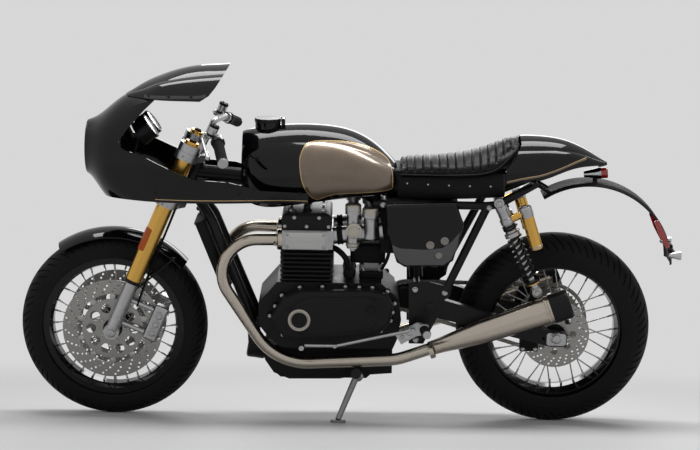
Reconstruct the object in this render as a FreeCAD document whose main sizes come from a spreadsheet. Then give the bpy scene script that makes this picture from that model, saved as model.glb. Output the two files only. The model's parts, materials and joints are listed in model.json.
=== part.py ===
"""Cafe racer motorcycle with a half fairing, leaning on its side stand.

The machine is built upright and then leaned.  Upright, x points to the rear from the middle of the
engine, y to the rider's right and z up from the floor.  Every sub-part is one labelled object whose
sizes come from the sheet, and its Placement leans it over.  Lengths are millimetres, angles degrees.
The steering head and the engine stay put: the wheels, the fork and the swingarm follow the sizes.
"""
import FreeCAD
import Part
import Sketcher
import math
import os
import re
from types import SimpleNamespace
from FreeCAD import Placement, Rotation, Vector

SIZES = (  # alias, amount or formula on the aliases above it, meaning
    ("wheelbase", 1415, "axle to axle"),
    ("lean_angle", 12.5, "lean to the left on the side stand"),
    ("rake", 22.8, "steering axis from upright"),
    ("head_x", -528.47, "lower yoke, on the line of the fork legs"),
    ("head_z", 727.36, "lower yoke above the floor"),
    ("seat_gap", 0.3, "gap between a piece and its seat"),
    ("running_gap", 0.05, "radial clearance of a turning fit"),
    ("front_tyre_width", 120, "front section width"),
    ("front_tyre_radius", 300, "front tyre outer radius"),
    ("rear_tyre_width", 160, "rear section width"),
    ("rear_tyre_radius", 312, "rear tyre outer radius"),
    ("bead_radius", 216, "where both tyres sit on their rims"),
    ("tyre_wall", 9, "tyre thickness"),
    ("front_rim_width", "front_tyre_width - 32", "between the front rim's flanges"),
    ("rear_rim_width", "rear_tyre_width - 46", "between the rear rim's flanges"),
    ("rim_wall", 4, "rim thickness"),
    ("axle_radius", 10, "front and rear axles"),
    ("hub_radius", 25, "front hub barrel"),
    ("hub_flange_radius", 44, "front hub's spoke flanges"),
    ("rear_hub_radius", 34, "rear hub barrel"),
    ("rear_flange_radius", 52, "rear hub's spoke flanges"),
    ("flange_offset", 34.5, "spoke flanges from the middle"),
    ("spoke_radius", 2, "wire spokes"),
    ("spoke_count", 32, "spokes in a wheel"),
    ("spoke_slant", 34, "angle between a spoke's two ends"),
    ("disc_thickness", 5, "brake discs"),
    ("front_disc_radius", 160, "front brake discs"),
    ("rear_disc_radius", 110, "rear brake disc"),
    ("rotor_width", 46, "braking band of a front disc"),
    ("fork_clearance", 21.5, "front tyre's side to a sliding leg"),
    ("fork_tube_radius", 27, "gold outer tube"),
    ("fork_leg_radius", 21.5, "sliding leg"),
    ("fork_spacing", "front_tyre_width + 2 * fork_clearance + 2 * fork_leg_radius", "between the fork legs"),
    ("front_disc_offset", "fork_spacing / 2 - 33.5", "front disc from the middle"),
    ("fork_offset", 31.5, "legs ahead of the steering axis"),
    ("fork_tube_foot", 184, "lower end of the outer tube above the axle"),
    ("yoke_spacing", 160, "between the yokes"),
    ("yoke_thickness", 26, "both yokes"),
    ("tube_above_yoke", 40, "outer tube above the middle of the upper yoke"),
    ("stem_radius", 15, "steering stem"),
    ("head_radius", 30, "frame's steering head"),
    ("bar_radius", 11, "handlebar tube"),
    ("bar_reach", 372, "handlebar end from the middle"),
    ("frame_tube_radius", 19, "frame tubes"),
    ("subframe_tube_radius", 13, "seat frame tubes"),
    ("header_radius", 19, "exhaust header outside"),
    ("pipe_wall", 2, "exhaust tube wall"),
    ("silencer_radius", 46, "silencer at its rear end"),
    ("shell_wall", 4, "fairing, screen and cowl thickness"),
    ("chain_width", 8, "chain and sprocket teeth"),
    ("chain_clearance", 12, "rear tyre's side to the chain"),
    ("chain_offset", "rear_tyre_width / 2 + chain_clearance + chain_width / 2", "chain from the middle"),
    ("chain_gap", 0.8, "chain off its sprockets"),
    ("rear_disc_offset", "rear_tyre_width / 2 + 8", "rear disc from the middle"),
    ("rear_sprocket_radius", 108, "outside the rear sprocket's teeth"),
    ("front_sprocket_radius", 40, "outside the front sprocket's teeth"),
    ("arm_width", 30, "swingarm leg across"),
    ("arm_gap", 6, "chain to the swingarm leg"),
    ("swingarm_spread", "chain_offset + chain_width / 2 + arm_gap + arm_width / 2", "leg from the middle"),
    ("pivot_radius", 9, "swingarm pivot bolt"),
    ("plate_gap", 1, "swingarm leg to the frame's pivot plate"),
    ("plate_thickness", 10, "frame's pivot plates"),
    ("plate_inside", "swingarm_spread + arm_width / 2 + plate_gap", "pivot plate's inner side"),
    ("shock_spread", "swingarm_spread + arm_width / 2 + 16", "rear shock from the middle"),
    ("spring_radius", 20, "middle of a rear spring's wire"),
    ("spring_wire", 4, "rear spring's wire radius"),
    ("spring_turns", 8, "coils in a rear spring"),
    ("silencer_spread", "shock_spread + 38", "silencer from the middle"),
    ("stand_pivot_x", 78, "side stand pivot behind the middle"),
    ("stand_pivot_y", 150, "side stand pivot left of the middle"),
    ("stand_pivot_z", 184, "side stand pivot above the floor"),
    ("stand_foot_x", 20, "side stand foot behind the middle"),
    ("stand_foot_y", 232, "side stand foot left of the middle"),
    ("stand_thread_radius", 5, "threaded holes for paddock stand bobbins"),
)

doc = FreeCAD.newDocument("CafeRacer")
sheet = doc.addObject("Spreadsheet::Sheet", "Sizes")
for row, (alias, amount, meaning) in enumerate(SIZES, 1):
    sheet.set("A%d" % row, meaning)
    sheet.set("B%d" % row, "=" + amount if isinstance(amount, str) else str(amount))
    sheet.setAlias("B%d" % row, alias)
doc.recompute()
mm = SimpleNamespace(**{alias: float(sheet.get(alias)) for alias, amount, meaning in SIZES})

UPRIGHT = Placement()
ALONG_X, ALONG_Y, ALONG_Z = Vector(1, 0, 0), Vector(0, 1, 0), Vector(0, 0, 1)
LEAN = Placement(Vector(0, 0, 0), Rotation(ALONG_X, mm.lean_angle))
lean, rake = math.radians(mm.lean_angle), math.radians(mm.rake)


def axle_height(tyre_radius, tyre_width):
    """Height of an axle whose round-crowned tyre still touches the floor when it leans."""
    return tyre_radius - tyre_width / 2 + tyre_width / 2 / math.cos(lean)


front_height = axle_height(mm.front_tyre_radius, mm.front_tyre_width)
rear_height = axle_height(mm.rear_tyre_radius, mm.rear_tyre_width)
# Heights along the fork, from the front axle.
LOWER_YOKE = (mm.head_z - front_height) / math.cos(rake)
UPPER_YOKE = LOWER_YOKE + mm.yoke_spacing
FORK_TOP = UPPER_YOKE + mm.tube_above_yoke
FRONT_AXLE = Vector(mm.head_x - LOWER_YOKE * math.sin(rake), 0, front_height)
REAR_AXLE = Vector(FRONT_AXLE.x + mm.wheelbase, 0, rear_height)
# Fork space: z up along the fork from the front axle, x square to it and rearwards.
FORK = Placement(FRONT_AXLE, Rotation(ALONG_Y, mm.rake))
FRONT_WHEEL, REAR_WHEEL = Placement(FRONT_AXLE, Rotation()), Placement(REAR_AXLE, Rotation())

# Places that several pieces meet at.
SWINGARM_PIVOT = Vector(306, 0, 408)
SHOCK_TOP, SHOCK_FOOT = Vector(511, 0, 751), Vector(640, 0, 466)
FRONT_SPROCKET = Vector(230, 0, 385)
FILLER = Vector(-218, 0, 950)
FILLER_TOP = FILLER.z + 20
LID_PIVOT = Vector(FILLER.x + 49, 0, FILLER_TOP + 7)
STAND_PIVOT = Vector(mm.stand_pivot_x, -mm.stand_pivot_y, mm.stand_pivot_z)
STAND_AXIS = Vector(-0.192, -0.814, 0.548)
PLATE_OUTSIDE = mm.plate_inside + mm.plate_thickness

pieces = {}


# ---------------------------------------------------------------- helpers

def piece(label, thing, place=UPRIGHT):
    """Name a finished sub-part and lean it over."""
    thing.Label = label
    thing.Placement = LEAN * place * thing.Placement
    pieces[label] = thing
    return thing


def bound(text):
    """Write an expression on the sheet's aliases, given their bare names."""
    names = {alias for alias, amount, meaning in SIZES}
    return re.sub(r"[a-z_]+", lambda word: "Sizes." + word.group() if word.group() in names
                  else word.group(), str(text))


def amount_of(text):
    return float(sheet.evalExpression(bound(text)))


def draw(sketch, corners):
    """Draw a closed outline of corners (across, up), tied to the sheet.

    A third entry makes the edge that leaves the corner an arc of that radius, bulging to the right
    of the way round, or to the left where it is negative.
    """
    spots = [Vector(amount_of(corner[0]), amount_of(corner[1]), 0) for corner in corners]
    ends = []
    for index, corner in enumerate(corners):
        here, there = spots[index], spots[(index + 1) % len(spots)]
        if len(corner) == 2:
            edge = sketch.addGeometry(Part.LineSegment(here, there), False)
            ends.append((edge, 1, 2))
            continue
        radius = amount_of(corner[2])
        chord = there - here
        rise = abs(radius) - math.sqrt(max(radius ** 2 - chord.Length ** 2 / 4, 0))
        right = Vector(chord.y, -chord.x, 0) * (math.copysign(rise, radius) / chord.Length)
        middle = (here + there) * 0.5 + right
        turning_left = radius > 0
        points = (here, middle, there) if turning_left else (there, middle, here)
        edge = sketch.addGeometry(Part.Arc(*points), False)
        ends.append((edge, 1, 2) if turning_left else (edge, 2, 1))
        rule = sketch.addConstraint(Sketcher.Constraint("Radius", edge, abs(radius)))
        sketch.setExpression("Constraints[%d]" % rule, bound("abs(%s)" % corner[2]))
    for index, (edge, first, last) in enumerate(ends):
        following, start, _ = ends[(index + 1) % len(ends)]
        sketch.addConstraint(Sketcher.Constraint("Coincident", edge, last, following, start))
        for way, text, distance in (("DistanceX", corners[index][0], spots[index].x),
                                    ("DistanceY", corners[index][1], spots[index].y)):
            rule = sketch.addConstraint(Sketcher.Constraint(way, -1, 1, edge, first, distance))
            if isinstance(text, str):
                sketch.setExpression("Constraints[%d]" % rule, bound(text))


def turned(corners):
    """A body turned about the y axis from an outline of (radius, across) corners."""
    body = doc.addObject("PartDesign::Body", "Turned")
    plane = [thing for thing in body.Origin.OriginFeatures if thing.Role == "XY_Plane"][0]
    sketch = body.newObject("Sketcher::SketchObject", "Outline")
    sketch.AttachmentSupport = [(plane, "")]
    sketch.MapMode = "FlatFace"
    draw(sketch, corners)
    doc.recompute()
    turn = body.newObject("PartDesign::Revolution", "Turn")
    turn.Profile = sketch
    turn.ReferenceAxis = (sketch, ["V_Axis"])
    turn.Angle = 360
    sketch.Visibility = False
    doc.recompute()
    return body


def solid(shape):
    """A plain feature holding a shape that no parametric feature fits."""
    feature = doc.addObject("Part::Feature", "Formed")
    feature.Shape = shape
    return feature


def rod(start, end, radius, far_radius=None):
    """A straight round bar, tapered where a far radius is given."""
    length = (end - start).Length
    if far_radius is None:
        return Part.makeCylinder(radius, length, start, end - start)
    return Part.makeCone(radius, far_radius, length, start, end - start)


def tube(start, end, radius, bore):
    return rod(start, end, radius).cut(rod(start, end, bore))


def pipe(points, radius, bends):
    """A round bar of straight runs and tangent arcs; a single bend radius gives way on short runs."""
    edges = []
    last = points[0]
    eased = not isinstance(bends, tuple)
    for index, (before, corner, after) in enumerate(zip(points, points[1:], points[2:])):
        back = (before - corner).normalize()
        ahead = (after - corner).normalize()
        half = back.getAngle(ahead) / 2
        bend = bends if eased else bends[index]
        setback = bend / math.tan(half)
        if eased:
            setback = min(setback, 0.48 * min((before - corner).Length, (after - corner).Length))
        centre_out = setback * math.tan(half)
        crest = corner + (back + ahead).normalize() * (centre_out / math.sin(half) - centre_out)
        start, end = corner + back * setback, corner + ahead * setback
        edges += [Part.LineSegment(last, start).toShape(), Part.Arc(start, crest, end).toShape()]
        last = end
    edges.append(Part.LineSegment(last, points[-1]).toShape())
    section = Part.Wire(Part.makeCircle(radius, points[0], points[1] - points[0]))
    return Part.Wire(edges).makePipeShell([section], True, False)


def coil(start, end, radius, wire, turns):
    """A coil of round wire; each half turn is one tilted arc that meets the next without a kink."""
    way = (end - start).normalize()
    side = way.cross(ALONG_Y).normalize()
    across = way.cross(side)
    rise = (end - start).Length / (2 * turns)
    edges = []
    for index in range(2 * int(turns)):
        hand = 1 if index % 2 == 0 else -1
        here = start + way * (rise * index) + side * (radius * hand)
        there = start + way * (rise * (index + 1)) - side * (radius * hand)
        crest = (here + there) * 0.5 + across * (hand * (there - here).Length / 2)
        edges.append(Part.Arc(here, crest, there).toShape())
    section = Part.Wire(Part.makeCircle(wire, start + side * radius, across))
    return Part.Wire(edges).makePipeShell([section], True, False)


def ring_at(x, low, low_half, middle, half, high, high_half, top):
    """A symmetric closed section across the machine: flat floor, bowed sides and an arched top."""
    floor = Part.LineSegment(Vector(x, -low_half, low), Vector(x, low_half, low))
    right = Part.Arc(Vector(x, low_half, low), Vector(x, half, middle), Vector(x, high_half, high))
    arch = Part.Arc(Vector(x, high_half, high), Vector(x, 0, top), Vector(x, -high_half, high))
    left_side = Part.Arc(Vector(x, -high_half, high), Vector(x, -half, middle), Vector(x, -low_half, low))
    return Part.Wire([edge.toShape() for edge in (floor, right, arch, left_side)])


def lofted(sections, wall=0):
    """A body through the sections, with its sides and top drawn in by the wall."""
    return Part.makeLoft([ring_at(x, low, low_half - wall, middle, half - wall, high - wall / 2,
                                  high_half - wall / 2, top - wall)
                          for x, low, low_half, middle, half, high, high_half, top in sections],
                         True, False)


def stretched(sections, ahead, behind):
    """The same sections with the first moved ahead and the last moved behind, for a cutting tool."""
    first, last = sections[0], sections[-1]
    return [(first[0] - ahead,) + first[1:]] + list(sections[1:-1]) + [(last[0] + behind,) + last[1:]]


def slab(corners, low_y, high_y):
    """A prism across the machine from a side outline of (x, z) corners."""
    points = [Vector(x, low_y, z) for x, z in corners]
    return Part.Face(Part.makePolygon(points + points[:1])).extrude(Vector(0, high_y - low_y, 0))


def softened(shape, radius, low=-1e9, high=1e9):
    """Round the edges that lie wholly between two distances across the machine."""
    edges = [edge for edge in shape.Edges
             if all(low < corner.Y < high for corner in edge.Vertexes)]
    return shape.makeFillet(radius, edges)


def upright(label):
    """A finished sub-part's shape, stood upright again."""
    shape = pieces[label].Shape.copy()
    shape.Placement = LEAN.inverse() * shape.Placement
    return shape


def clear_of(shape, *labels):
    """The largest part of a shape that is left outside its finished neighbours."""
    for label in labels:
        shape = shape.cut(upright(label))
    return max(shape.Solids, key=lambda part: part.Volume)


def mirrored(shape):
    return shape.mirror(Vector(0, 0, 0), ALONG_Y)


def both_sides(shape):
    return Part.makeCompound([shape, mirrored(shape)])


def left(x, y, z):
    """A place on the rider's left, its distance from the middle given as a positive number."""
    return Vector(x, -y, z)


def on_circle(radius, across, count, phase=0.0):
    """Places spread evenly round the y axis."""
    turns = [2 * math.pi * (index + phase) / count for index in range(count)]
    return [Vector(radius * math.cos(turn), across, radius * math.sin(turn)) for turn in turns]


# ---------------------------------------------------------------- wheels

SHOULDER = math.radians(12)
RIM_DEPTH, FLANGE_HEIGHT = 18, 12


def tyre(width, radius, rim_width):
    """Round-crowned tyre: the tread is one arc from shoulder to shoulder, with flat beads."""
    half, crown = "%s / 2" % width, "%s - %s / 2" % (radius, width)
    rise, run = math.sin(SHOULDER), math.cos(SHOULDER)
    shoulder = ("%s + %s * %.6f" % (crown, half, rise), "%s * %.6f" % (half, run))
    inner = "(%s - tyre_wall)" % half
    lining = ("%s + %s * %.6f" % (crown, inner, rise), "%s * %.6f" % (inner, run))
    bead = "%s / 2 - seat_gap" % rim_width
    bead_top = "bead_radius + %d" % (FLANGE_HEIGHT + 2)
    return turned([
        ("bead_radius", "-(%s)" % bead), (bead_top, "-(%s)" % bead),
        (shoulder[0], "-(%s)" % shoulder[1], half), shoulder,
        (bead_top, bead), ("bead_radius", bead), ("bead_radius", "%s - tyre_wall" % bead),
        (lining[0], lining[1], "-" + inner), (lining[0], "-(%s)" % lining[1]),
        ("bead_radius", "-(%s - tyre_wall)" % bead)])


def rim(width):
    """Rim with two flanges and a dropped centre."""
    half, flange = "%s / 2" % width, "%s / 2 + rim_wall" % width
    outer, top = "bead_radius - seat_gap", "bead_radius + %d" % FLANGE_HEIGHT
    return turned([
        ("bead_radius - 10", "-(%s)" % flange), (top, "-(%s)" % flange),
        (top, "-(%s)" % half), (outer, "-(%s)" % half), (outer, -24),
        ("bead_radius - 12", -14), ("bead_radius - 12", 14), (outer, 24), (outer, half),
        (top, half), (top, flange), ("bead_radius - 10", flange),
        ("bead_radius - %d" % RIM_DEPTH, 20), ("bead_radius - %d" % RIM_DEPTH, -20)])


def spokes(flange_radius):
    """Crossing wire spokes: each flange sends half its spokes forwards and half backwards."""
    wires = []
    quarter = int(mm.spoke_count / 4)
    hub_radius, rim_radius = flange_radius - 4, mm.bead_radius - RIM_DEPTH + 2
    # flange side, way the spoke runs, across at the hub, across at the rim
    for side, way, hub_y, rim_y in ((-1, 1, 3, 5), (-1, -1, -3, 11), (1, 1, -3, 5), (1, -1, 3, 11)):
        phase = (0.25 if side > 0 else 0) + (0.5 if way > 0 else 0)
        swing = way * math.radians(mm.spoke_slant) / (2 * math.pi) * quarter
        starts = on_circle(hub_radius, side * mm.flange_offset + hub_y, quarter, phase + swing)
        ends = on_circle(rim_radius, side * rim_y, quarter, phase)
        wires += [rod(start, end, mm.spoke_radius) for start, end in zip(starts, ends)]
    return solid(Part.makeCompound(wires))


def round_plate(radius, middle):
    """A disc on the left, square to the axle."""
    half = Vector(0, mm.disc_thickness / 2, 0)
    return rod(Vector(0, -middle, 0) - half, Vector(0, -middle, 0) + half, radius)


def pierced(plate, middle, radius, hole, count):
    for place in on_circle(radius, -middle, count):
        plate = plate.cut(rod(place - ALONG_Y * 10, place + ALONG_Y * 10, hole))
    return plate


def front_disc():
    """A floating disc: the braking band hangs on buttons round a pierced carrier."""
    middle, band = mm.front_disc_offset, mm.front_disc_radius - mm.rotor_width
    rotor = round_plate(mm.front_disc_radius, middle).cut(round_plate(band, middle))
    carrier = round_plate(band - 16, middle).cut(round_plate(30, middle))
    carrier = pierced(carrier, middle, 69, 16, 10)
    for place in on_circle(band - 8, -middle, 10, 0.5):
        half = Vector(0, mm.disc_thickness / 2 + 1, 0)
        carrier = carrier.fuse(rod(place - half, place + half, 10))
    return rotor.fuse(carrier)


def front_wheel():
    piece("front_tyre", tyre("front_tyre_width", "front_tyre_radius", "front_rim_width"), FRONT_WHEEL)
    piece("front_rim", rim("front_rim_width"), FRONT_WHEEL)
    bore, flange = "axle_radius + running_gap", "hub_flange_radius"
    mount = "front_disc_offset - disc_thickness / 2 - seat_gap"
    neck = "hub_radius + 3"
    piece("front_hub", turned([
        (bore, "-(%s)" % mount), (flange, "-(%s)" % mount), (flange, "-(%s) + 5" % mount), (neck, -58),
        ("hub_radius", -42), (flange, -37), (flange, -32), ("hub_radius", -26), ("hub_radius", 26),
        (flange, 32), (flange, 37), ("hub_radius", 42), (neck, 58), (flange, "%s - 5" % mount),
        (flange, mount), (bore, mount)]), FRONT_WHEEL)
    piece("front_spokes", spokes(mm.hub_flange_radius), FRONT_WHEEL)
    piece("front_discs", solid(both_sides(front_disc())), FRONT_WHEEL)


def rear_wheel():
    piece("rear_tyre", tyre("rear_tyre_width", "rear_tyre_radius", "rear_rim_width"), REAR_WHEEL)
    piece("rear_rim", rim("rear_rim_width"), REAR_WHEEL)
    bore, barrel, flange = "axle_radius + running_gap", "rear_hub_radius", "rear_flange_radius"
    mount = "rear_disc_offset - disc_thickness / 2 - seat_gap"
    drive = "chain_offset - chain_width / 2 - seat_gap"
    piece("rear_hub", turned([
        (bore, "-(%s)" % mount), (50, "-(%s)" % mount), (50, "-(%s) + 6" % mount), (barrel, -70),
        (barrel, -42), (flange, -37), (flange, -32), (barrel, -26), (barrel, 26),
        (flange, 32), (flange, 37), (barrel, 42), (barrel, 60), (62, 66), (62, drive),
        (bore, drive)]), REAR_WHEEL)
    piece("rear_spokes", spokes(mm.rear_flange_radius), REAR_WHEEL)
    middle = mm.rear_disc_offset
    plate = round_plate(mm.rear_disc_radius, middle).cut(round_plate(32, middle))
    piece("rear_disc", solid(pierced(plate, middle, 66, 11, 8)), REAR_WHEEL)
    near, far = "chain_offset - chain_width / 2", "chain_offset + chain_width / 2"
    piece("rear_sprocket", turned([(40, near), ("rear_sprocket_radius", near),
                                   ("rear_sprocket_radius", far), (40, far)]), REAR_WHEEL)


# ---------------------------------------------------------------- steering

def fork():
    half = mm.fork_spacing / 2
    bore = mm.fork_leg_radius + mm.seat_gap
    outer = tube(left(0, half, mm.fork_tube_foot), left(0, half, FORK_TOP), mm.fork_tube_radius, bore)
    cap = rod(left(0, half, FORK_TOP), left(0, half, FORK_TOP + 8), 22)
    adjuster = rod(left(0, half, FORK_TOP + 8), left(0, half, FORK_TOP + 14), 9)
    piece("fork_tubes", solid(both_sides(outer.fuse([cap, adjuster]))), FORK)
    leg = rod(left(0, half, 0), left(0, half, LOWER_YOKE - 42), mm.fork_leg_radius)
    clamp = rod(left(0, half - 26, 0), left(0, half + 15, 0), 25)
    lug_y = mm.front_disc_offset + 15.5
    lugs = [rod(left(12, lug_y, height), left(CALIPER_AT - mm.seat_gap, lug_y, height), 7.5)
            for height in (34, 114)]
    axle = rod(left(0, half + 13, 0), Vector(0, half + 13, 0), mm.axle_radius)
    piece("fork_legs", solid(both_sides(leg.fuse([clamp] + lugs)).fuse(axle)), FORK)


def yokes():
    """Two clamped plates carried by the stem that turns in the steering head."""
    half = mm.fork_spacing / 2
    nose = mm.fork_offset + 28
    thing = rod(Vector(mm.fork_offset, 0, LOWER_YOKE), Vector(mm.fork_offset, 0, UPPER_YOKE), mm.stem_radius)
    for height in (LOWER_YOKE, UPPER_YOKE):
        low = height - mm.yoke_thickness / 2
        corners = ((-34, -half), (-34, half), (34, half), (nose, 26), (nose, -26), (34, -half))
        outline = [Vector(x, y, low) for x, y in corners]
        web = Part.Face(Part.makePolygon(outline + outline[:1])).extrude(ALONG_Z * mm.yoke_thickness)
        ears = [rod(Vector(0, y, low), Vector(0, y, low + mm.yoke_thickness), mm.fork_tube_radius + 11)
                for y in (-half, half)]
        thing = thing.fuse(web).fuse(ears)
    for y in (-half, half):
        thing = thing.cut(rod(Vector(0, y, 0), Vector(0, y, FORK_TOP * 2), mm.fork_tube_radius + mm.seat_gap))
    piece("fork_yokes", solid(thing.removeSplitter()), FORK)


def handlebars():
    """Clip-on bars: a clamp and riser on each fork tube, a bar swept back, and a lever ahead of it."""
    half = mm.fork_spacing / 2
    low = UPPER_YOKE + mm.yoke_thickness / 2 + mm.seat_gap
    hole = mm.fork_tube_radius + mm.seat_gap
    elbow = left(60, half + 87, FORK_TOP + 70)
    sweep = Vector(48, -182, -32) / 182
    end = elbow + sweep * (mm.bar_reach - half - 87)
    way = (end - elbow).normalize()
    ahead = Vector(-46, 0, 0)
    bar = tube(left(0, half, low), left(0, half, FORK_TOP - 1), mm.fork_tube_radius + 9, hole)
    riser = pipe([left(30, half + 6, low + 12), left(34, half + 8, FORK_TOP + 58), elbow, end],
                 mm.bar_radius, 24)
    bracket = rod(end - way * 176, end - way * 148, 17)
    cup = rod(end - way * 162 + Vector(-24, 0, 8), end - way * 162 + Vector(-24, 0, 38), 15)
    neck = rod(end - way * 162, end - way * 162 + Vector(-24, 0, 14), 8)
    lever = pipe([end - way * 166, end - way * 158 + ahead, end - way * 116 + ahead * 1.2,
                  end - way * 3 + ahead + Vector(0, 0, -6)], 5, 14)
    bar = bar.fuse([riser, bracket, cup, neck, lever])
    piece("handlebars", solid(both_sides(bar.cut(rod(left(0, half, 0), left(0, half, FORK_TOP * 2), hole)))),
          FORK)
    grip = tube(end - way * 131, end + way * 2, 17, mm.bar_radius + mm.seat_gap)
    piece("grips", solid(both_sides(grip.fuse(rod(end + way * 2, end + way * 8, 17)))), FORK)


FRONT_GUARD = SimpleNamespace(first=42, sweep=82, rise=16, wall=3, half_width=62, drop=22)
CALIPER_AT = 96


def front_mudguard():
    """A narrow arched guard over the front tyre, with a lug to each fork tube."""
    guard, crest = FRONT_GUARD, mm.front_tyre_radius + FRONT_GUARD.rise
    edges = []
    for radius, hand in ((crest, 1), (crest + guard.wall, -1)):
        corners = [Vector(radius - guard.drop, -guard.half_width * hand, 0), Vector(radius, 0, 0),
                   Vector(radius - guard.drop, guard.half_width * hand, 0)]
        edges.append((corners, Part.Arc(*corners).toShape()))
    (under, lower), (over, upper) = edges
    face = Part.Face(Part.Wire([lower, Part.LineSegment(under[2], over[0]).toShape(), upper,
                                Part.LineSegment(over[2], under[0]).toShape()]))
    face.rotate(Vector(), ALONG_Y, -guard.first)
    shell = face.revolve(Vector(), ALONG_Y, -guard.sweep)
    half, height = mm.fork_spacing / 2, mm.front_tyre_radius + 4
    lug = rod(left(0, 52, height), left(0, half - 20, height), 8)
    lug = lug.cut(rod(left(0, half, 0), left(0, half, FORK_TOP), mm.fork_tube_radius + mm.seat_gap))
    lugs = both_sides(lug)
    lugs.Placement = FRONT_WHEEL.inverse() * FORK
    piece("front_mudguard", solid(shell.fuse(lugs.Solids)), FRONT_WHEEL)


def front_calipers():
    """Radial calipers behind the legs, each with a slot for its disc."""
    y = mm.front_disc_offset
    slot = mm.disc_thickness + 5
    body = softened(Part.makeBox(46, 44, 120, Vector(CALIPER_AT, -y - 22, 14)), 9)
    body = body.cut(rod(left(0, y - slot / 2, 0), left(0, y + slot / 2, 0), mm.front_disc_radius + 5))
    for height in (44, 74, 104):
        body = body.fuse(rod(left(CALIPER_AT + 24, y + 16, height), left(CALIPER_AT + 24, y + 26, height), 12))
    piece("front_calipers", solid(both_sides(body)), FORK)


# ---------------------------------------------------------------- frame and engine

def stem_at(height):
    """A place on the steering axis, measured along the fork from the front axle."""
    return FORK.multVec(Vector(mm.fork_offset, 0, height))


HEAD_GAP = 19


def main_frame():
    """Steering head, backbone, twin downtubes, and plates that carry the swingarm."""
    low, high = LOWER_YOKE + HEAD_GAP, UPPER_YOKE - HEAD_GAP
    bar = mm.frame_tube_radius
    head = rod(stem_at(low), stem_at(high), mm.head_radius)
    bore = rod(stem_at(low - 99), stem_at(high + 99), mm.stem_radius + mm.running_gap)
    backbone = pipe([stem_at(high - 40), Vector(-120, 0, 782), Vector(110, 0, 745), Vector(250, 0, 600),
                     Vector(264, 0, 474)], bar + 3, 90)
    down = pipe([stem_at(low + 46), left(-392, 60, 664), left(-262, 74, 350), left(-256, 74, 262)], bar - 3, 60)
    lug = rod(left(-256, 90, 300), left(-256, 40, 300), 15)
    brace = rod(stem_at(low + 34), Vector(-176, 0, 786), bar - 6)
    tank_mount = rod(Vector(-200, -41.7, 778), Vector(-200, 41.7, 778), 12)
    reach = mm.plate_inside + 3
    crossbars = [rod(left(x, reach, z), left(x, -reach, z), 11) for x, z in ((262, 301), (264, 474))]
    outline = [(236, 488), (300, 492), (372, 474), (366, 446), (336, 424), (336, 392), (286, 290), (240, 290)]
    side_plate = slab(outline, -PLATE_OUTSIDE, -mm.plate_inside)
    frame = head
    for member in ([backbone, brace, tank_mount, side_plate, mirrored(side_plate)] + crossbars
                   + both_sides(down).Solids + both_sides(lug).Solids):
        frame = frame.fuse(member)
    reach = Vector(0, PLATE_OUTSIDE - 5, 0)
    bolt = rod(SWINGARM_PIVOT - reach, SWINGARM_PIVOT + reach, mm.pivot_radius)
    piece("main_frame", solid(frame.cut(bore).fuse(bolt)))


def subframe():
    """Twin seat rails with struts down to the swingarm pivot and lugs for the shocks."""
    radius = mm.subframe_tube_radius
    rail = pipe([left(120, 96, 730), left(505, 100, 730), left(640, 56, 798)], radius, 120)
    strut = rod(left(352, mm.plate_inside + 3, 462), left(478, 101, 726), radius)
    front = rod(left(150, 96, 730), left(150, 24, 730), radius)
    rear = rod(left(625, 120, 802), left(625, -120, 802), radius - 4)
    lug = rod(left(SHOCK_TOP.x, 92, 744), left(SHOCK_TOP.x, mm.shock_spread - 13 - mm.seat_gap, SHOCK_TOP.z), 11)
    hanger = rod(left(636, 40, 790), left(700, 40, 752), 6)
    one = rail.fuse([strut, front, lug, hanger])
    piece("subframe", solid(clear_of(one.fuse([mirrored(one), rear]), "main_frame", "rear_mudguard",
                                     "tail_cowl")))


def crankcase():
    """Wide crankcase over a narrow sump that leaves room for the headers."""
    upper = slab([(-165, 264), (-205, 296), (-238, 338), (-238, 410), (-180, 478), (60, 478), (150, 478),
                  (205, 430), (215, 360), (205, 300), (190, 264)], -124, 124)
    sump = slab([(-165, 264), (-222, 250), (-218, 210), (-189, 168), (-140, 148), (23, 151), (72, 162),
                 (190, 172), (190, 264)], -84, 84)
    drive = mm.chain_offset
    room, gearbox, shaft, sprocket = [
        rod(FRONT_SPROCKET + ALONG_Y * near, FRONT_SPROCKET + ALONG_Y * far, radius) for near, far, radius in (
            (drive - 9, drive + 34, mm.front_sprocket_radius + 22), (drive - 36, drive - 9, 34),
            (drive - 16, drive + 10, 14),
            (drive - mm.chain_width / 2, drive + mm.chain_width / 2, mm.front_sprocket_radius))]
    case = upper.fuse(sump).removeSplitter().cut(room)
    for turning in (gearbox, shaft, sprocket):
        case = case.fuse(turning)
    piece("crankcase", solid(case))


COVER = SimpleNamespace(inside=124.3, outside=184, edge=16)


def engine_covers():
    """Rounded side covers, each with a shallow ring boss for its cap."""
    outline = [(-161, 437), (-105, 463), (35, 466), (119, 466), (167, 455), (190, 417), (179, 361),
               (148, 328), (22, 310), (-103, 298), (-157, 310), (-198, 371)]
    cover = softened(slab(outline, -COVER.outside, -COVER.inside), COVER.edge, high=-COVER.outside + 0.1)
    boss = tube(left(-107, COVER.outside - 8, 371), left(-107, COVER.outside + 5, 371), 36, 27)
    piece("engine_covers", solid(both_sides(cover.fuse(boss))))


FINS = SimpleNamespace(count=7, thickness=4, pitch=14, first=484)


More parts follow.
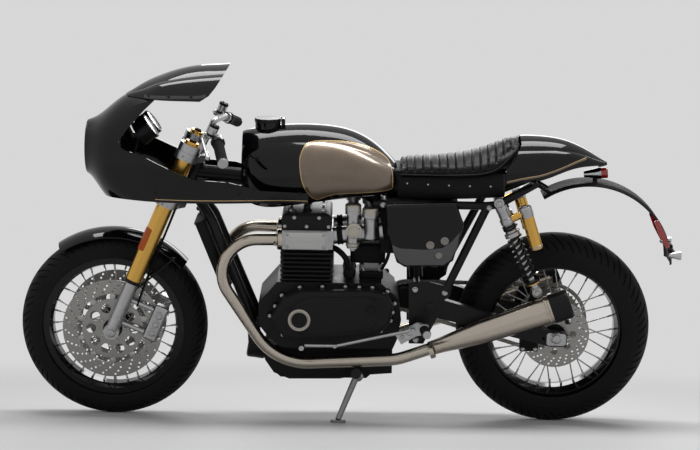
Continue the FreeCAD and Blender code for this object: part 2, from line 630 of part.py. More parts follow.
def cylinders():
    """Finned barrels, the head with its side plates, and the cam cover."""
    barrel = Part.makeBox(150, 200, 106, Vector(-162, -100, 478.3))
    for index in range(FINS.count):
        fin = Part.makeBox(168, 246, FINS.thickness, Vector(-171, -123, FINS.first + FINS.pitch * index))
        barrel = barrel.fuse(fin)
    piece("cylinders", solid(barrel.removeSplitter()))
    head = Part.makeBox(160, 240, 60, Vector(-166, -120, 584.6))
    for side in (-1, 1):
        head = head.fuse(Part.makeBox(141, 8, 58, Vector(-162, side * 124 - 4, 585)))
    piece("cylinder_head", solid(head.removeSplitter()))
    cover = Part.makeBox(158, 226, 50, Vector(-168, -113, 645))
    tops = [edge for edge in cover.Edges if all(corner.Z > 694 for corner in edge.Vertexes)]
    piece("cam_cover", solid(cover.makeFillet(14, tops)))


def throttle_bodies():
    """A throttle barrel for each cylinder, with an upright housing and a boss outside it."""
    box = Part.makeBox(170, 60, 144, Vector(146, -92, 570))
    piece("airbox", solid(both_sides(box)))
    barrel = rod(left(-5.5, 84, 622), left(151, 84, 640), 27).cut(box)
    column = rod(left(57, 112, 590), left(57, 112, 700), 19).fuse(rod(left(57, 112, 700), left(57, 112, 726), 25))
    boss = rod(left(60, 84, 650), left(60, 140, 650), 24)
    boot = rod(left(112, 108, 621), left(112, 108, 690), 20).fuse(rod(left(112, 108, 690), left(112, 108, 714), 26))
    one = barrel.fuse([column, boss, boot])
    piece("throttle_bodies", solid(both_sides(one.cut(upright("cylinder_head")))))


def radiator():
    """A leaning core between two round side tanks."""
    core = Part.makeBox(34, 140, 230, Vector(-17, -70, 0))
    for y in (-70, 70):
        core = core.fuse(rod(Vector(0, y, 0), Vector(0, y, 230), 17))
    core.rotate(Vector(), ALONG_Y, -22)
    core.translate(Vector(-343.5, 0, 446))
    piece("radiator", solid(core))


# ---------------------------------------------------------------- exhaust

HEADER_BENDS = (108, 180, 200)
SOCKET = SimpleNamespace(depth=30, wall=3, blind=40, mouth=70)


def exhaust():
    """Each header sweeps forward, down and back under the engine into a tapered silencer."""
    start, end = left(306, mm.silencer_spread - 24, 279), left(741, mm.silencer_spread, 443)
    length = (end - start).Length
    along = (end - start) / length
    route = [left(-167, 92, 609), left(-445, 122, 609), left(-181, 122, 208), start - along * 110,
             start + along * (SOCKET.depth - 2)]
    outer = pipe(route, mm.header_radius, HEADER_BENDS)
    bore = pipe(route, mm.header_radius - mm.pipe_wall, HEADER_BENDS)
    flange = rod(left(-160, 91.2, 609), left(-178, 93.5, 609), 33)
    header = outer.fuse(flange).cut(bore).cut(upright("cylinder_head")).cut(upright("cylinders"))
    piece("exhaust_pipes", solid(both_sides(header)))
    hole, widest = mm.header_radius + mm.seat_gap, mm.silencer_radius
    profile = [(hole + SOCKET.wall, 0), (hole + SOCKET.wall + 2, 40), (widest - 8, 165), (widest, length - 8),
               (widest - 4, length), (widest - 16, length), (widest - 16, length - SOCKET.mouth),
               (0, length - SOCKET.mouth), (0, SOCKET.blind), (hole, SOCKET.depth), (hole, 0)]
    points = [Vector(radius, 0, height) for radius, height in profile]
    can = Part.Face(Part.makePolygon(points + points[:1])).revolve(Vector(), ALONG_Z, 360)
    can.Placement = Placement(start, Rotation(ALONG_Z, end - start))
    piece("silencers", solid(both_sides(can)))


# ---------------------------------------------------------------- tank, seat and tail

TANK = (  # x, low, low half, middle, half, high, high half, top
    (-297, 745, 60, 830, 88, 900, 52, 938),
    (-250, 716, 84, 820, 132, 915, 84, 951),
    (-150, 718, 95, 815, 150, 920, 96, 963),
    (-20, 738, 95, 815, 153, 920, 96, 961),
    (90, 752, 95, 820, 140, 890, 86, 930),
    (165, 765, 88, 810, 114, 850, 66, 875),
    (192, 778, 70, 805, 88, 832, 50, 845),
)
SEAT = (
    (199, 817, 92, 830, 100, 845, 80, 858),
    (330, 823, 118, 838, 126, 852, 96, 870),
    (451, 825, 122, 848, 130, 868, 100, 893),
    (516, 842, 112, 864, 120, 888, 92, 918),
    (578, 926, 66, 934, 76, 940, 56, 949),
)
SEAT_BASE = (
    (197, 750, 84, 780, 92, 814, 88, 824),
    (360, 751, 104, 790, 122, 822, 108, 832),
    (531, 757.9, 92, 791, 122, 838, 106, 848),
)
COWL = (
    (532, 774, 86, 830, 128, 895, 90, 930),
    (600, 781, 82, 835, 126, 905, 88, 941),
    (680, 801, 66, 850, 108, 905, 76, 937),
    (760, 834, 45, 868, 78, 895, 52, 916),
    (830, 850, 22, 860, 40, 868, 26, 877),
    (860, 851, 10, 855, 16, 858, 9, 860),
)
LID = SimpleNamespace(collar=40, neck=27, radius=42, height=12, ear=12, pin=3)


def fuel_tank():
    """The tank straddles the backbone; its filler has a collar, a neck and an ear for the lid."""
    tunnel = Part.makeBox(500, 84, 122, Vector(-300, -42, 700))
    over = Vector(FILLER.x, 0, FILLER_TOP)
    collar = rod(FILLER, over, LID.collar)
    neck = rod(FILLER - ALONG_Z * 110, over + ALONG_Z * 20, LID.neck)
    tank = lofted(TANK).cut(tunnel).fuse(collar).cut(neck)
    across = ALONG_Y * LID.ear
    foot = LID_PIVOT - Vector(6, LID.ear, 29)
    ear = Part.makeBox(12, 2 * LID.ear, 29, foot).fuse(rod(LID_PIVOT - across, LID_PIVOT + across, 6))
    hole = rod(LID_PIVOT - across * 2, LID_PIVOT + across * 2, LID.pin)
    piece("fuel_tank", solid(tank.fuse(ear).cut(hole)))
    low = over + ALONG_Z * mm.seat_gap
    lid = rod(low, low + ALONG_Z * LID.height, LID.radius)
    lid = lid.cut(Part.makeBox(30, 2 * LID.ear + 2, 30, Vector(LID_PIVOT.x - 8, -LID.ear - 1, FILLER_TOP - 5)))
    for side in (-1, 1):
        near, far = ALONG_Y * side * (LID.ear + 1), ALONG_Y * side * (LID.ear + 9)
        lid = lid.fuse(rod(LID_PIVOT + near, LID_PIVOT + far, 6))
        arm = Part.makeBox(14, 8, 5.3, Vector(LID_PIVOT.x - 14, min(near.y, far.y), FILLER_TOP + mm.seat_gap + 6.7))
        lid = lid.fuse(arm)
    pin = rod(LID_PIVOT - ALONG_Y * (LID.ear + 9), LID_PIVOT + ALONG_Y * (LID.ear + 9), LID.pin - mm.running_gap)
    piece("filler_lid", solid(lid.fuse(pin)))


def seat():
    """Padded seat on its base, running up against a hollow tail cowl."""
    cushion = lofted(SEAT)
    piece("seat", solid(cushion))
    sunk = cushion.copy()
    sunk.translate(Vector(0, 0, -mm.seat_gap))
    base = Part.makeLoft([ring_at(*row) for row in SEAT_BASE], True, False).cut(sunk)
    piece("seat_base", solid(max(base.Solids, key=lambda part: part.Volume)))
    lowered = [(row[0], row[1] - 14) + row[2:] for row in COWL[:-1]]
    lowered[0] = (COWL[0][0] - 8,) + COWL[0][1:]
    step = slab([(500, 700), (531, 790), (516, 836), (562, 885), (582, 922), (583, 960), (500, 960)], -150, 150)
    piece("tail_cowl", solid(lofted(COWL).cut(lofted(lowered, mm.shell_wall)).cut(step).cut(cushion)))


GUARD = SimpleNamespace(start=Vector(660, 0, 748), middle=Vector(842, 0, 790), half=62, wall=6, past=362.5)


def tail():
    """A long arched guard that carries the lamp on a stalk and the indicators on a bar."""
    end = Vector(REAR_AXLE.x + GUARD.past, 0, 540)
    centre = Part.Arc(GUARD.start, GUARD.middle, end).toShape().Curve.Center
    radius, crest = (GUARD.start - centre).Length, (GUARD.start - centre).Length + GUARD.wall
    first, last = [math.degrees(math.atan2(place.z - centre.z, place.x - centre.x))
                   for place in (GUARD.start, end)]
    face = Part.Face(Part.makePolygon([Vector(across, y, 0) for across, y in (
        (radius, -GUARD.half), (crest, -GUARD.half + 12), (crest, GUARD.half - 12), (radius, GUARD.half),
        (radius - 3, GUARD.half), (radius + 3, GUARD.half - 16), (radius + 3, -GUARD.half + 16),
        (radius - 3, -GUARD.half), (radius, -GUARD.half))]))
    face.rotate(Vector(), ALONG_Y, -first)
    guard = face.revolve(Vector(), ALONG_Y, first - last)
    guard.translate(centre)
    piece("rear_mudguard", solid(guard))
    lamp = rod(Vector(789, 0, 818), Vector(839, 0, 822), 8, 17).fuse(rod(Vector(839, 0, 822), Vector(864, 0, 824), 17))
    under_lamp = centre.z + math.sqrt(crest ** 2 - (826 - centre.x) ** 2) + mm.seat_gap
    piece("tail_light", solid(lamp.fuse(rod(Vector(826, 0, under_lamp), Vector(826, 0, 815), 7))))
    turn = math.radians(last + 8.5)
    place = centre + Vector(math.cos(turn), 0, math.sin(turn)) * (crest + 6 + mm.seat_gap)
    bar = rod(place - ALONG_Y * 92, place + ALONG_Y * 92, 6)
    bullets = [rod(place + ALONG_Y * (side * 104) - ALONG_X * 20, place + ALONG_Y * (side * 104) + ALONG_X * 18,
                   8, 15) for side in (-1, 1)]
    piece("indicators", solid(bar.fuse(bullets)))


def side_covers():
    """Panels below the seat, pegged to the seat rails."""
    outline = [(160, 738), (378, 748), (404, 680), (374, 562), (346, 541), (222, 538), (196, 553), (166, 640)]
    cover = softened(slab(outline, -152, -132), 10, high=-151.9)
    pegs = [rod(left(x, 134, 730), left(x, 109 + mm.seat_gap, 730), 6) for x in (210, 352)]
    piece("side_covers", solid(both_sides(clear_of(cover.fuse(pegs), "subframe"))))


# ---------------------------------------------------------------- fairing

FAIRING = (
    (-796, 804, 30, 880, 86, 948, 46, 965),
    (-786, 802, 36, 880, 92, 950, 50, 968),
    (-740, 752, 60, 865, 134, 966, 84, 994),
    (-670, 715, 100, 850, 164, 1010, 96, 1049),
    (-560, 702, 150, 830, 180, 1052, 124, 1066),
    (-330, 704, 156, 800, 180, 1046, 124, 1068),
    (-70, 716, 148, 780, 164, 1046, 124, 1068),
)
SCREEN = (
    (-668, 1040, 30, 1044, 31, 1048, 18, 1053),
    (-640, 1040, 62, 1050, 62, 1062, 36, 1070),
    (-600, 1040, 92, 1060, 93, 1078, 56, 1094),
    (-565, 1040, 118, 1068, 118, 1094, 66, 1110),
    (-500, 1040, 134, 1080, 132, 1112, 76, 1133),
    (-400, 1040, 142, 1090, 140, 1126, 80, 1149),
    (-325, 1040, 142, 1096, 140, 1132, 80, 1156),
)
FAIRING_EDGE = [(-786, 737), (-84, 737), (-84, 772), (-229, 779), (-330, 806),
                (-438, 813), (-485, 831), (-547, 859), (-609, 889), (-664, 900), (-674, 925), (-649, 961),
                (-599, 1018), (-565, 1051), (-786, 1051)]
SCREEN_EDGE = [(-700, 1051.3), (-424, 1051.3), (-396, 1070), (-376, 1095), (-340, 1150), (-332, 1175), (-700, 1175)]
LAMP_Z, LAMP_RADIUS = 882, 83.5


def fairing():
    """Half fairing cut away round the bars, with its screen, lamp, stay and clocks."""
    shell = lofted(FAIRING).cut(lofted(FAIRING, mm.shell_wall))
    lamp_hole = rod(Vector(-900, 0, LAMP_Z), Vector(-700, 0, LAMP_Z), LAMP_RADIUS + mm.seat_gap)
    kept = shell.common(slab(FAIRING_EDGE, -300, 300)).cut(lamp_hole)
    piece("fairing", solid(max(kept.Solids, key=lambda part: part.Volume)))
    thinner = [(x, low - 8, low_half - 3, middle, half - 3, high - 2, high_half - 2, top - 3)
               for x, low, low_half, middle, half, high, high_half, top in stretched(SCREEN, 12, 12)]
    screen = lofted(SCREEN).cut(Part.makeLoft([ring_at(*row) for row in thinner], True, False))
    piece("windscreen", solid(screen.common(slab(SCREEN_EDGE, -300, 300))))
    lens, bowl = Vector(-752, 0, LAMP_Z), Vector(-690, 0, LAMP_Z)
    lamp = rod(Vector(-790, 0, LAMP_Z), lens, LAMP_RADIUS).fuse(rod(lens, bowl, LAMP_RADIUS, 45))
    piece("headlight", solid(lamp))
    stay = rod(stem_at(LOWER_YOKE + 68) - Vector(26, 0, 0), Vector(-689, 0, 862), 8)
    cross = rod(left(-655, 150, 858), left(-655, -150, 858), 7)
    piece("fairing_stay", solid(clear_of(stay.fuse(cross), "main_frame", "headlight", "fairing")))
    facing = Vector(0.8, 0, 0.6)
    clock = rod(left(-622, 45, 930), left(-622, 45, 930) + facing * 46, 40)
    bar = rod(left(-628, 50, 926), left(-628, -50, 926), 8)
    post = rod(Vector(-628, 0, 926), Vector(-650, 0, 850), 8)
    piece("instruments", solid(both_sides(clock).fuse([bar, post]).cut(upright("fairing_stay"))))


# ---------------------------------------------------------------- rear suspension and drive

THREAD_BACK, THREAD_DEPTH = 39.5, 25


def swingarm():
    """Two box legs joined by a cross tube, with towers for the shocks and threads for a stand."""
    y, side = mm.swingarm_spread, mm.arm_width / 2
    axle = REAR_AXLE
    leg = slab([(280, 384), (280, 432), (330, 436), (axle.x - 17.5, axle.z + 20), (axle.x + 34.5, axle.z + 14),
                (axle.x + 34.5, axle.z - 30), (axle.x - 17.5, axle.z - 30)], -y - side, -y + side)
    leg = leg.cut(rod(axle - ALONG_Y * 200, axle, mm.axle_radius + mm.seat_gap))
    foot = SHOCK_FOOT
    tower = slab([(foot.x - 50, foot.z - 116), (foot.x - 16, foot.z + 8), (foot.x + 14, foot.z + 12),
                  (foot.x + 22, foot.z - 126)], -y - side + 1, -y + side - 21)
    stud = rod(left(foot.x, y + 8, foot.z), left(foot.x, mm.shock_spread - 13 - mm.seat_gap, foot.z), 9)
    leg = leg.fuse([tower, stud])
    thread = left(axle.x - THREAD_BACK, y + side - 20, axle.z - 2.9)
    leg = leg.cut(rod(thread, thread - ALONG_Y * THREAD_DEPTH, mm.stand_thread_radius))
    cross = rod(left(354, y - 14, 390), left(354, -y + 14, 390), 18)
    pivot = rod(SWINGARM_PIVOT - ALONG_Y * 300, SWINGARM_PIVOT + ALONG_Y * 300, mm.pivot_radius + mm.seat_gap)
    piece("swingarm", solid(leg.fuse([mirrored(leg), cross]).cut(pivot).removeSplitter()))
    reach = Vector(0, y + 24, 0)
    piece("rear_axle", solid(rod(axle - reach, axle + reach, mm.axle_radius)))


SEATS = SimpleNamespace(upper=114, lower=42, thickness=10, radius=24)


def shocks():
    """Twin dampers outside the swingarm, their reservoirs and their coils."""
    y = mm.shock_spread
    top, foot = left(SHOCK_TOP.x, y, SHOCK_TOP.z), left(SHOCK_FOOT.x, y, SHOCK_FOOT.z)
    length = (foot - top).Length
    way = (foot - top) / length
    body = rod(top, foot - way * 20, 11).fuse(rod(top + way * 12, top + way * SEATS.upper, 17))
    seats = [rod(top + way * (SEATS.upper - SEATS.thickness), top + way * SEATS.upper, SEATS.radius),
             rod(foot - way * SEATS.lower, foot - way * (SEATS.lower - SEATS.thickness), SEATS.radius)]
    eyes = [rod(place - ALONG_Y * 13, place + ALONG_Y * 13, 15) for place in (top, foot)]
    behind = way.cross(ALONG_Y)
    behind = behind if behind.x > 0 else -behind
    can = rod(top + way * 45 + behind * 68, top + way * 181 + behind * 53, 20)
    bridge = rod(top + way * 62, top + way * 62 + behind * 60, 12)
    one = body.fuse(seats + eyes + [rod(foot - way * 30, foot, 9), can, bridge])
    piece("shock_absorbers", solid(both_sides(clear_of(one, "subframe", "swingarm"))))
    margin = mm.spring_wire + mm.seat_gap
    spring = coil(top + way * (SEATS.upper + margin), foot - way * (SEATS.lower + margin),
                  mm.spring_radius, mm.spring_wire, mm.spring_turns)
    piece("shock_springs", solid(both_sides(spring)))


BAND_HEIGHT = 14


def chain():
    """The chain as a loop of one band round both sprockets, on the right."""
    front, rear = FRONT_SPROCKET, REAR_AXLE
    reach, base = (rear - front).Length, math.atan2(rear.z - front.z, rear.x - front.x)

    def loop(grow):
        small, large = [radius + mm.chain_gap + grow
                        for radius in (mm.front_sprocket_radius, mm.rear_sprocket_radius)]
        lift = math.asin((large - small) / reach)
        upper, lower = base + math.pi / 2 + lift, base - math.pi / 2 - lift
        rear_top, rear_back, rear_low, front_low, front_nose, front_top = [
            centre + Vector(radius * math.cos(angle), 0, radius * math.sin(angle))
            for centre, radius, angle in ((rear, large, upper), (rear, large, base), (rear, large, lower),
                                          (front, small, lower), (front, small, base + math.pi),
                                          (front, small, upper))]
        return Part.Wire([Part.LineSegment(front_top, rear_top).toShape(),
                          Part.Arc(rear_top, rear_back, rear_low).toShape(),
                          Part.LineSegment(rear_low, front_low).toShape(),
                          Part.Arc(front_low, front_nose, front_top).toShape()])

    band = Part.Face(loop(BAND_HEIGHT)).extrude(ALONG_Y * mm.chain_width)
    band = band.cut(Part.Face(loop(0)).extrude(ALONG_Y * mm.chain_width))
    band.translate(ALONG_Y * (mm.chain_offset - mm.chain_width / 2))
    piece("drive_chain", solid(band))


def rear_caliper():
    """A block on the swingarm's inner side, slotted for the disc."""
    axle, middle = REAR_AXLE, mm.rear_disc_offset
    inside = mm.swingarm_spread - mm.arm_width / 2 - mm.seat_gap
    body = Part.makeBox(60, 35, 60, Vector(axle.x - 112, -inside, axle.z - 58))
    slot = ALONG_Y * (mm.disc_thickness / 2 + 2.5)
    plane = left(axle.x, middle, axle.z)
    piece("rear_caliper", solid(body.cut(rod(plane - slot, plane + slot, mm.rear_disc_radius + 4))))


def footrests():
    """Cast hangers behind the engine with rider's pegs and pedals."""
    inside, outside = PLATE_OUTSIDE + 39, PLATE_OUTSIDE + 49
    hanger = slab([(196, 330), (262, 372), (300, 366), (300, 336), (262, 328), (215, 300)], -outside, -inside)
    peg = rod(left(284, outside, 352), left(292, outside + 90, 356), 12)
    arm = rod(left(276, inside, 350), left(276, PLATE_OUTSIDE, 350), 9)
    far = outside + 16
    lever = pipe([left(250, far - 9, 352), left(250, far, 352), left(10, far, 296), left(-100, far + 2, 296)], 5, 30)
    toe = rod(left(-98, far + 2, 296), left(-98, far + 34, 296), 8)
    link = rod(left(250, inside + 4, 352), left(250, far - 6, 352), 7)
    piece("footrests", solid(both_sides(hanger.fuse([peg, arm, lever, toe, link]))))


# ---------------------------------------------------------------- side stand

PIN = SimpleNamespace(radius=8, boss=17, boss_half=11.2, ear_near=11.5, ear_far=17)


def side_stand():
    """A leg on a slanted pivot; its foot lies flat on the floor when the machine leans."""
    pivot = STAND_PIVOT
    up = Vector(0, math.sin(lean), math.cos(lean))
    foot = left(mm.stand_foot_x, mm.stand_foot_y, mm.stand_foot_y * math.tan(lean))
    way = STAND_AXIS / STAND_AXIS.Length
    bore = rod(pivot - way * 30, pivot + way * 30, PIN.radius + mm.running_gap)
    leg = rod(pivot, foot + up * 10, 10.5, 9)
    boss = rod(pivot - way * PIN.boss_half, pivot + way * PIN.boss_half, PIN.boss)
    piece("side_stand", solid(leg.fuse([boss, rod(foot, foot + up * 9, 24)]).cut(bore)))
    pin = rod(pivot - way * PIN.ear_far, pivot + way * PIN.ear_far, PIN.radius)
    ears = [rod(pivot + way * (side * PIN.ear_near), pivot + way * (side * PIN.ear_far), PIN.boss)
            for side in (-1, 1)]
    arm = rod(pivot - way * 15, left(70, 80, 176), 8)
    piece("stand_bracket", solid(pin.fuse(ears).fuse(arm).cut(upright("crankcase"))))


for make in (front_wheel, rear_wheel, fork, yokes, handlebars, front_mudguard, front_calipers, main_frame,
             crankcase, engine_covers, cylinders, throttle_bodies, radiator, exhaust, fuel_tank, seat, tail,
             subframe, side_covers, fairing, swingarm, shocks, chain, rear_caliper, footrests, side_stand):
    make()
doc.recompute()
for thing in doc.Objects:
    if "Invalid" in thing.State or "Error" in thing.State:
        raise RuntimeError("%s did not build" % thing.Label)
for label, thing in pieces.items():
    if thing.Shape.isNull() or not thing.Shape.isValid():
        raise RuntimeError("%s has no sound shape" % label)

# The origin goes on the floor, under the middle of the whole machine's box.
whole = FreeCAD.BoundBox()
for thing in pieces.values():
    whole.add(thing.Shape.optimalBoundingBox(False))
TO_ORIGIN = Placement(Vector(-whole.Center.x, -whole.Center.y, 0), Rotation())
for thing in pieces.values():
    thing.Placement = TO_ORIGIN * thing.Placement
doc.recompute()

os.makedirs("parts", exist_ok=True)
for label, thing in pieces.items():
    thing.Shape.exportStep("parts/%s.step" % label)
thread_y = mm.swingarm_spread + mm.arm_width / 2 - 10
for name, place, way in (
        ("front_axle", FRONT_AXLE, ALONG_Y), ("rear_axle", REAR_AXLE, ALONG_Y),
        ("steering", stem_at(LOWER_YOKE), stem_at(1) - stem_at(0)),
        ("side_stand", STAND_PIVOT, STAND_AXIS), ("filler_lid", LID_PIVOT, ALONG_Y),
        ("left_bobbin", left(REAR_AXLE.x - THREAD_BACK, thread_y, REAR_AXLE.z - 2.9), -ALONG_Y),
        ("right_bobbin", left(REAR_AXLE.x - THREAD_BACK, -thread_y, REAR_AXLE.z - 2.9), ALONG_Y)):
    spot = (TO_ORIGIN * LEAN).multVec(place)
    axis = LEAN.Rotation.multVec(way).normalize()
    print(name, *("%.5f" % (number / 1000) for number in spot), *("%.6f" % number for number in axis))
print(len(pieces), "sub-parts in a box of %.0f by %.0f by %.0f" % (whole.XLength, whole.YLength, whole.ZLength))
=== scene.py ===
# %% [markdown]
# # The looks of a cafe racer motorcycle
# The construction comes packed as a fixed frame: every piece at its real size, on the body that
# carries it.  This lesson adds what the eye sees: the finish of each surface, and the forms that
# are easier to shape as meshes, such as a stitched seat, tyre treads and chain links.

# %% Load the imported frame
import json
import math
import bmesh
import bpy
from mathutils import Matrix, Vector
from mathutils.bvhtree import BVHTree

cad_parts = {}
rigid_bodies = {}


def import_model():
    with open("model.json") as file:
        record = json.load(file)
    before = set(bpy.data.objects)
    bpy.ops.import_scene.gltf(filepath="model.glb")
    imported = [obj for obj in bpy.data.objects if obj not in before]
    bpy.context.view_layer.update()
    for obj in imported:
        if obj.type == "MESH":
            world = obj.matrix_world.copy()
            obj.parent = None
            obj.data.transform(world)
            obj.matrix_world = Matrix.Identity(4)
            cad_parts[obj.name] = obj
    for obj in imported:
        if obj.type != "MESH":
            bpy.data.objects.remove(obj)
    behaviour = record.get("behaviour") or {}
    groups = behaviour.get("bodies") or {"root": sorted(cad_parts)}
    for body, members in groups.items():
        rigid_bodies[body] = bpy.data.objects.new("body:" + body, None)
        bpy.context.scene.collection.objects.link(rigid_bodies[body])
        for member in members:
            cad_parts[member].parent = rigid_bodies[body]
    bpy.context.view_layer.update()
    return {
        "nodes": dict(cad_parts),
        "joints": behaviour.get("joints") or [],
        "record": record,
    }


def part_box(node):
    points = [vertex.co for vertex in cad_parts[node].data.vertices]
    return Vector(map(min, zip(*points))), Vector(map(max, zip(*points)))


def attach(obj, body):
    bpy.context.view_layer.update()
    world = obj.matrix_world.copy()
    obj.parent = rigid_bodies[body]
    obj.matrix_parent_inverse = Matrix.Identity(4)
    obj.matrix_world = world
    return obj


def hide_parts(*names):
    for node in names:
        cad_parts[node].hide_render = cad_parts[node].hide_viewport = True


for leftover in list(bpy.data.objects):
    bpy.data.objects.remove(leftover)
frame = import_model()

# %% [markdown]
# The machine leans on its side stand, and its pieces are far easier to place while it is upright.
# The two axles give everything that is needed: their axis leans by the same angle, and the
# point on the floor between them is the machine's own origin.  The steering axis gives the fork.

# %% The machine's own space, in millimetres
joints = {joint["name"]: joint for joint in frame["joints"]}
front_axle = Vector(joints["front_wheel_spin"]["pos_m"])
rear_axle = Vector(joints["rear_wheel_spin"]["pos_m"])
across = Vector(joints["rear_wheel_spin"]["axis"])
LEAN = math.atan2(across.z, across.y)
GROUND = Vector(((front_axle.x + rear_axle.x) / 2, rear_axle.y + rear_axle.z * math.tan(LEAN), 0))
MILLIMETRES = Matrix.Diagonal((0.001, 0.001, 0.001, 1))
MACHINE = Matrix.Translation(GROUND) @ Matrix.Rotation(LEAN, 4, "X") @ MILLIMETRES
TO_MACHINE = MACHINE.inverted()
FRONT_AXLE, REAR_AXLE = TO_MACHINE @ front_axle, TO_MACHINE @ rear_axle
steering_way = TO_MACHINE.to_3x3() @ Vector(joints["steering"]["axis"])
RAKE = math.atan2(steering_way.x, steering_way.z)
FORK = Matrix.Translation(FRONT_AXLE) @ Matrix.Rotation(RAKE, 4, "Y")
FRONT_WHEEL, REAR_WHEEL = Matrix.Translation(FRONT_AXLE), Matrix.Translation(REAR_AXLE)
print("lean %.2f, rake %.2f, axles" % (math.degrees(LEAN), math.degrees(RAKE)), FRONT_AXLE, REAR_AXLE)

# %% [markdown]
# A long lens from the side shows the whole machine with little perspective.  The camera could be
# turned towards a point by a constraint, but a plain placing is read at once.  It stands low, level
# with the engine, and a hair off plumb.

# %% Camera
CAMERA_BACK, CAMERA_HEIGHT, CAMERA_FORWARD, CAMERA_ROLL, LENS = 6.5, 0.6236, 0.0475, 0.994, 102.1
camera = bpy.data.objects.new("camera", bpy.data.cameras.new("camera"))
camera.data.lens = LENS
camera.data.sensor_width = 36
camera.matrix_world = (Matrix.Translation((GROUND.x + CAMERA_FORWARD, GROUND.y - CAMERA_BACK, CAMERA_HEIGHT))
                       @ Matrix.Rotation(math.radians(90), 4, "X")
                       @ Matrix.Rotation(math.radians(CAMERA_ROLL), 4, "Z"))
bpy.context.scene.collection.objects.link(camera)
bpy.context.scene.camera = camera
print("camera at", camera.location)

# %% [markdown]
# Gloss black shows nothing but what it reflects, so the light is built from big soft panels: one
# long panel over the tank draws the bright line along its shoulder, and weaker ones fill in.  The
# two square ones would show in the paint as hard squares, so mirrors don't see them.

# %% Soft light
def soft_panel(name, place, target, size, watts, mirrored=True):
    lamp = bpy.data.lights.new(name, "AREA")
    lamp.shape = "RECTANGLE"
    lamp.size, lamp.size_y = size
    lamp.energy = watts
    panel = bpy.data.objects.new(name, lamp)
    panel.location = place
    panel.rotation_euler = (Vector(target) - Vector(place)).to_track_quat("-Z", "Y").to_euler()
    bpy.context.scene.collection.objects.link(panel)
    panel.visible_glossy = mirrored


soft_panel("over_panel", (0, 0.25, 3.2), (0, 0, 0.7), (3.6, 0.9), 95)
soft_panel("front_panel", (-3.0, -3.0, 2.0), (0, 0, 0.6), (1.4, 1.4), 40, mirrored=False)
soft_panel("rear_panel", (3.4, -2.6, 1.8), (0, 0, 0.6), (1.4, 1.4), 36, mirrored=False)
soft_panel("back_panel", (0.6, 3.4, 2.4), (0, 0, 0.6), (3.0, 1.0), 34)
print("soft panels:", len(bpy.data.lights))

# %% [markdown]
# A material is a small tree of nodes.  It could be wired by hand in the shader editor, but a
# script keeps every value in sight.  One helper adds a node with its settings and links, so that
# each tree below reads as a list of what it is made of.

# %% Node helpers
def shader_tree(material):
    material.use_nodes = True
    material.node_tree.nodes.clear()
    return material.node_tree


def add(tree, kind, inputs=None, **attributes):
    """Add a node, set its attributes, and set or link its inputs."""
    made = tree.nodes.new(kind)
    for name, value in attributes.items():
        setattr(made, name, value)
    for name, value in (inputs or {}).items():
        if isinstance(value, bpy.types.NodeSocket):
            tree.links.new(value, made.inputs[name])
        else:
            made.inputs[name].default_value = value
    return made


def noise(tree, place, scale, detail):
    return add(tree, "ShaderNodeTexNoise", {"Vector": place, "Scale": scale, "Detail": detail}).outputs[0]


def object_place(tree):
    return add(tree, "ShaderNodeTexCoord").outputs["Object"]


print("node helpers ready")

# %% [markdown]
# Floor and backdrop are plain and pale.  The backdrop is the world itself: the camera, mirrors and
# glass see it at its full paleness, while the light that it sheds is weaker and even.  The floor
# fades into the same paleness with distance, so no horizon shows.

# %% Backdrop
LIGHT_STRENGTH, SEEN_STRENGTH = 0.17, 0.68


def paleness(tree):
    """Strong where it is looked at, directly or in a reflection or through glass, and weak as light."""
    rays = add(tree, "ShaderNodeLightPath")
    seen = rays.outputs["Is Camera Ray"]
    for kind in ("Is Glossy Ray", "Is Transmission Ray"):
        seen = add(tree, "ShaderNodeMath", {0: seen, 1: rays.outputs[kind]}, operation="MAXIMUM").outputs[0]
    return add(tree, "ShaderNodeMapRange",
               {"Value": seen, "To Min": LIGHT_STRENGTH, "To Max": SEEN_STRENGTH}).outputs[0]


world = bpy.data.worlds.new("studio")
bpy.context.scene.world = world
sky = shader_tree(world)
pale = add(sky, "ShaderNodeBackground", {"Color": (1, 1, 1, 1), "Strength": paleness(sky)})
add(sky, "ShaderNodeOutputWorld", {"Surface": pale.outputs[0]})
bpy.context.scene.view_settings.view_transform = "Standard"
print("backdrop strength", SEEN_STRENGTH)

# %% Floor
FADE_START, FADE_END = 1.1, 2.9
floor_mesh = bmesh.new()
bmesh.ops.create_grid(floor_mesh, x_segments=2, y_segments=2, size=200)
floor = bpy.data.objects.new("floor", bpy.data.meshes.new("floor"))
floor_mesh.to_mesh(floor.data)
floor_mesh.free()
bpy.context.scene.collection.objects.link(floor)
floor_paint = bpy.data.materials.new("floor_paint")
tree = shader_tree(floor_paint)
cloud = add(tree, "ShaderNodeTexNoise", {"Scale": 0.6, "Detail": 2.0})
shade = add(tree, "ShaderNodeMix", {0: cloud.outputs[0], 6: (0.56, 0.56, 0.57, 1), 7: (0.6, 0.6, 0.6, 1)},
            data_type="RGBA")
matt = add(tree, "ShaderNodeBsdfPrincipled", {"Base Color": shade.outputs[2], "Roughness": 0.6})
haze = add(tree, "ShaderNodeEmission", {"Color": (1, 1, 1, 1), "Strength": paleness(tree)})
away = add(tree, "ShaderNodeVectorMath", {0: object_place(tree)}, operation="LENGTH")
fade = add(tree, "ShaderNodeMapRange",
           {"Value": away.outputs["Value"], "From Min": FADE_START, "From Max": FADE_END},
           interpolation_type="SMOOTHSTEP")
blend = add(tree, "ShaderNodeMixShader", {0: fade.outputs[0], 1: matt.outputs[0], 2: haze.outputs[0]})
add(tree, "ShaderNodeOutputMaterial", {"Surface": blend.outputs[0]})
floor.data.materials.append(floor_paint)
print("floor", floor.dimensions)

# %% [markdown]
# Three effects turn up in most finishes, so each is a node group built once: an uneven polish,
# a grain drawn out in one direction, and the pebbled skin of cast metal, plastic or leather.
# Each puts out a roughness and a height.

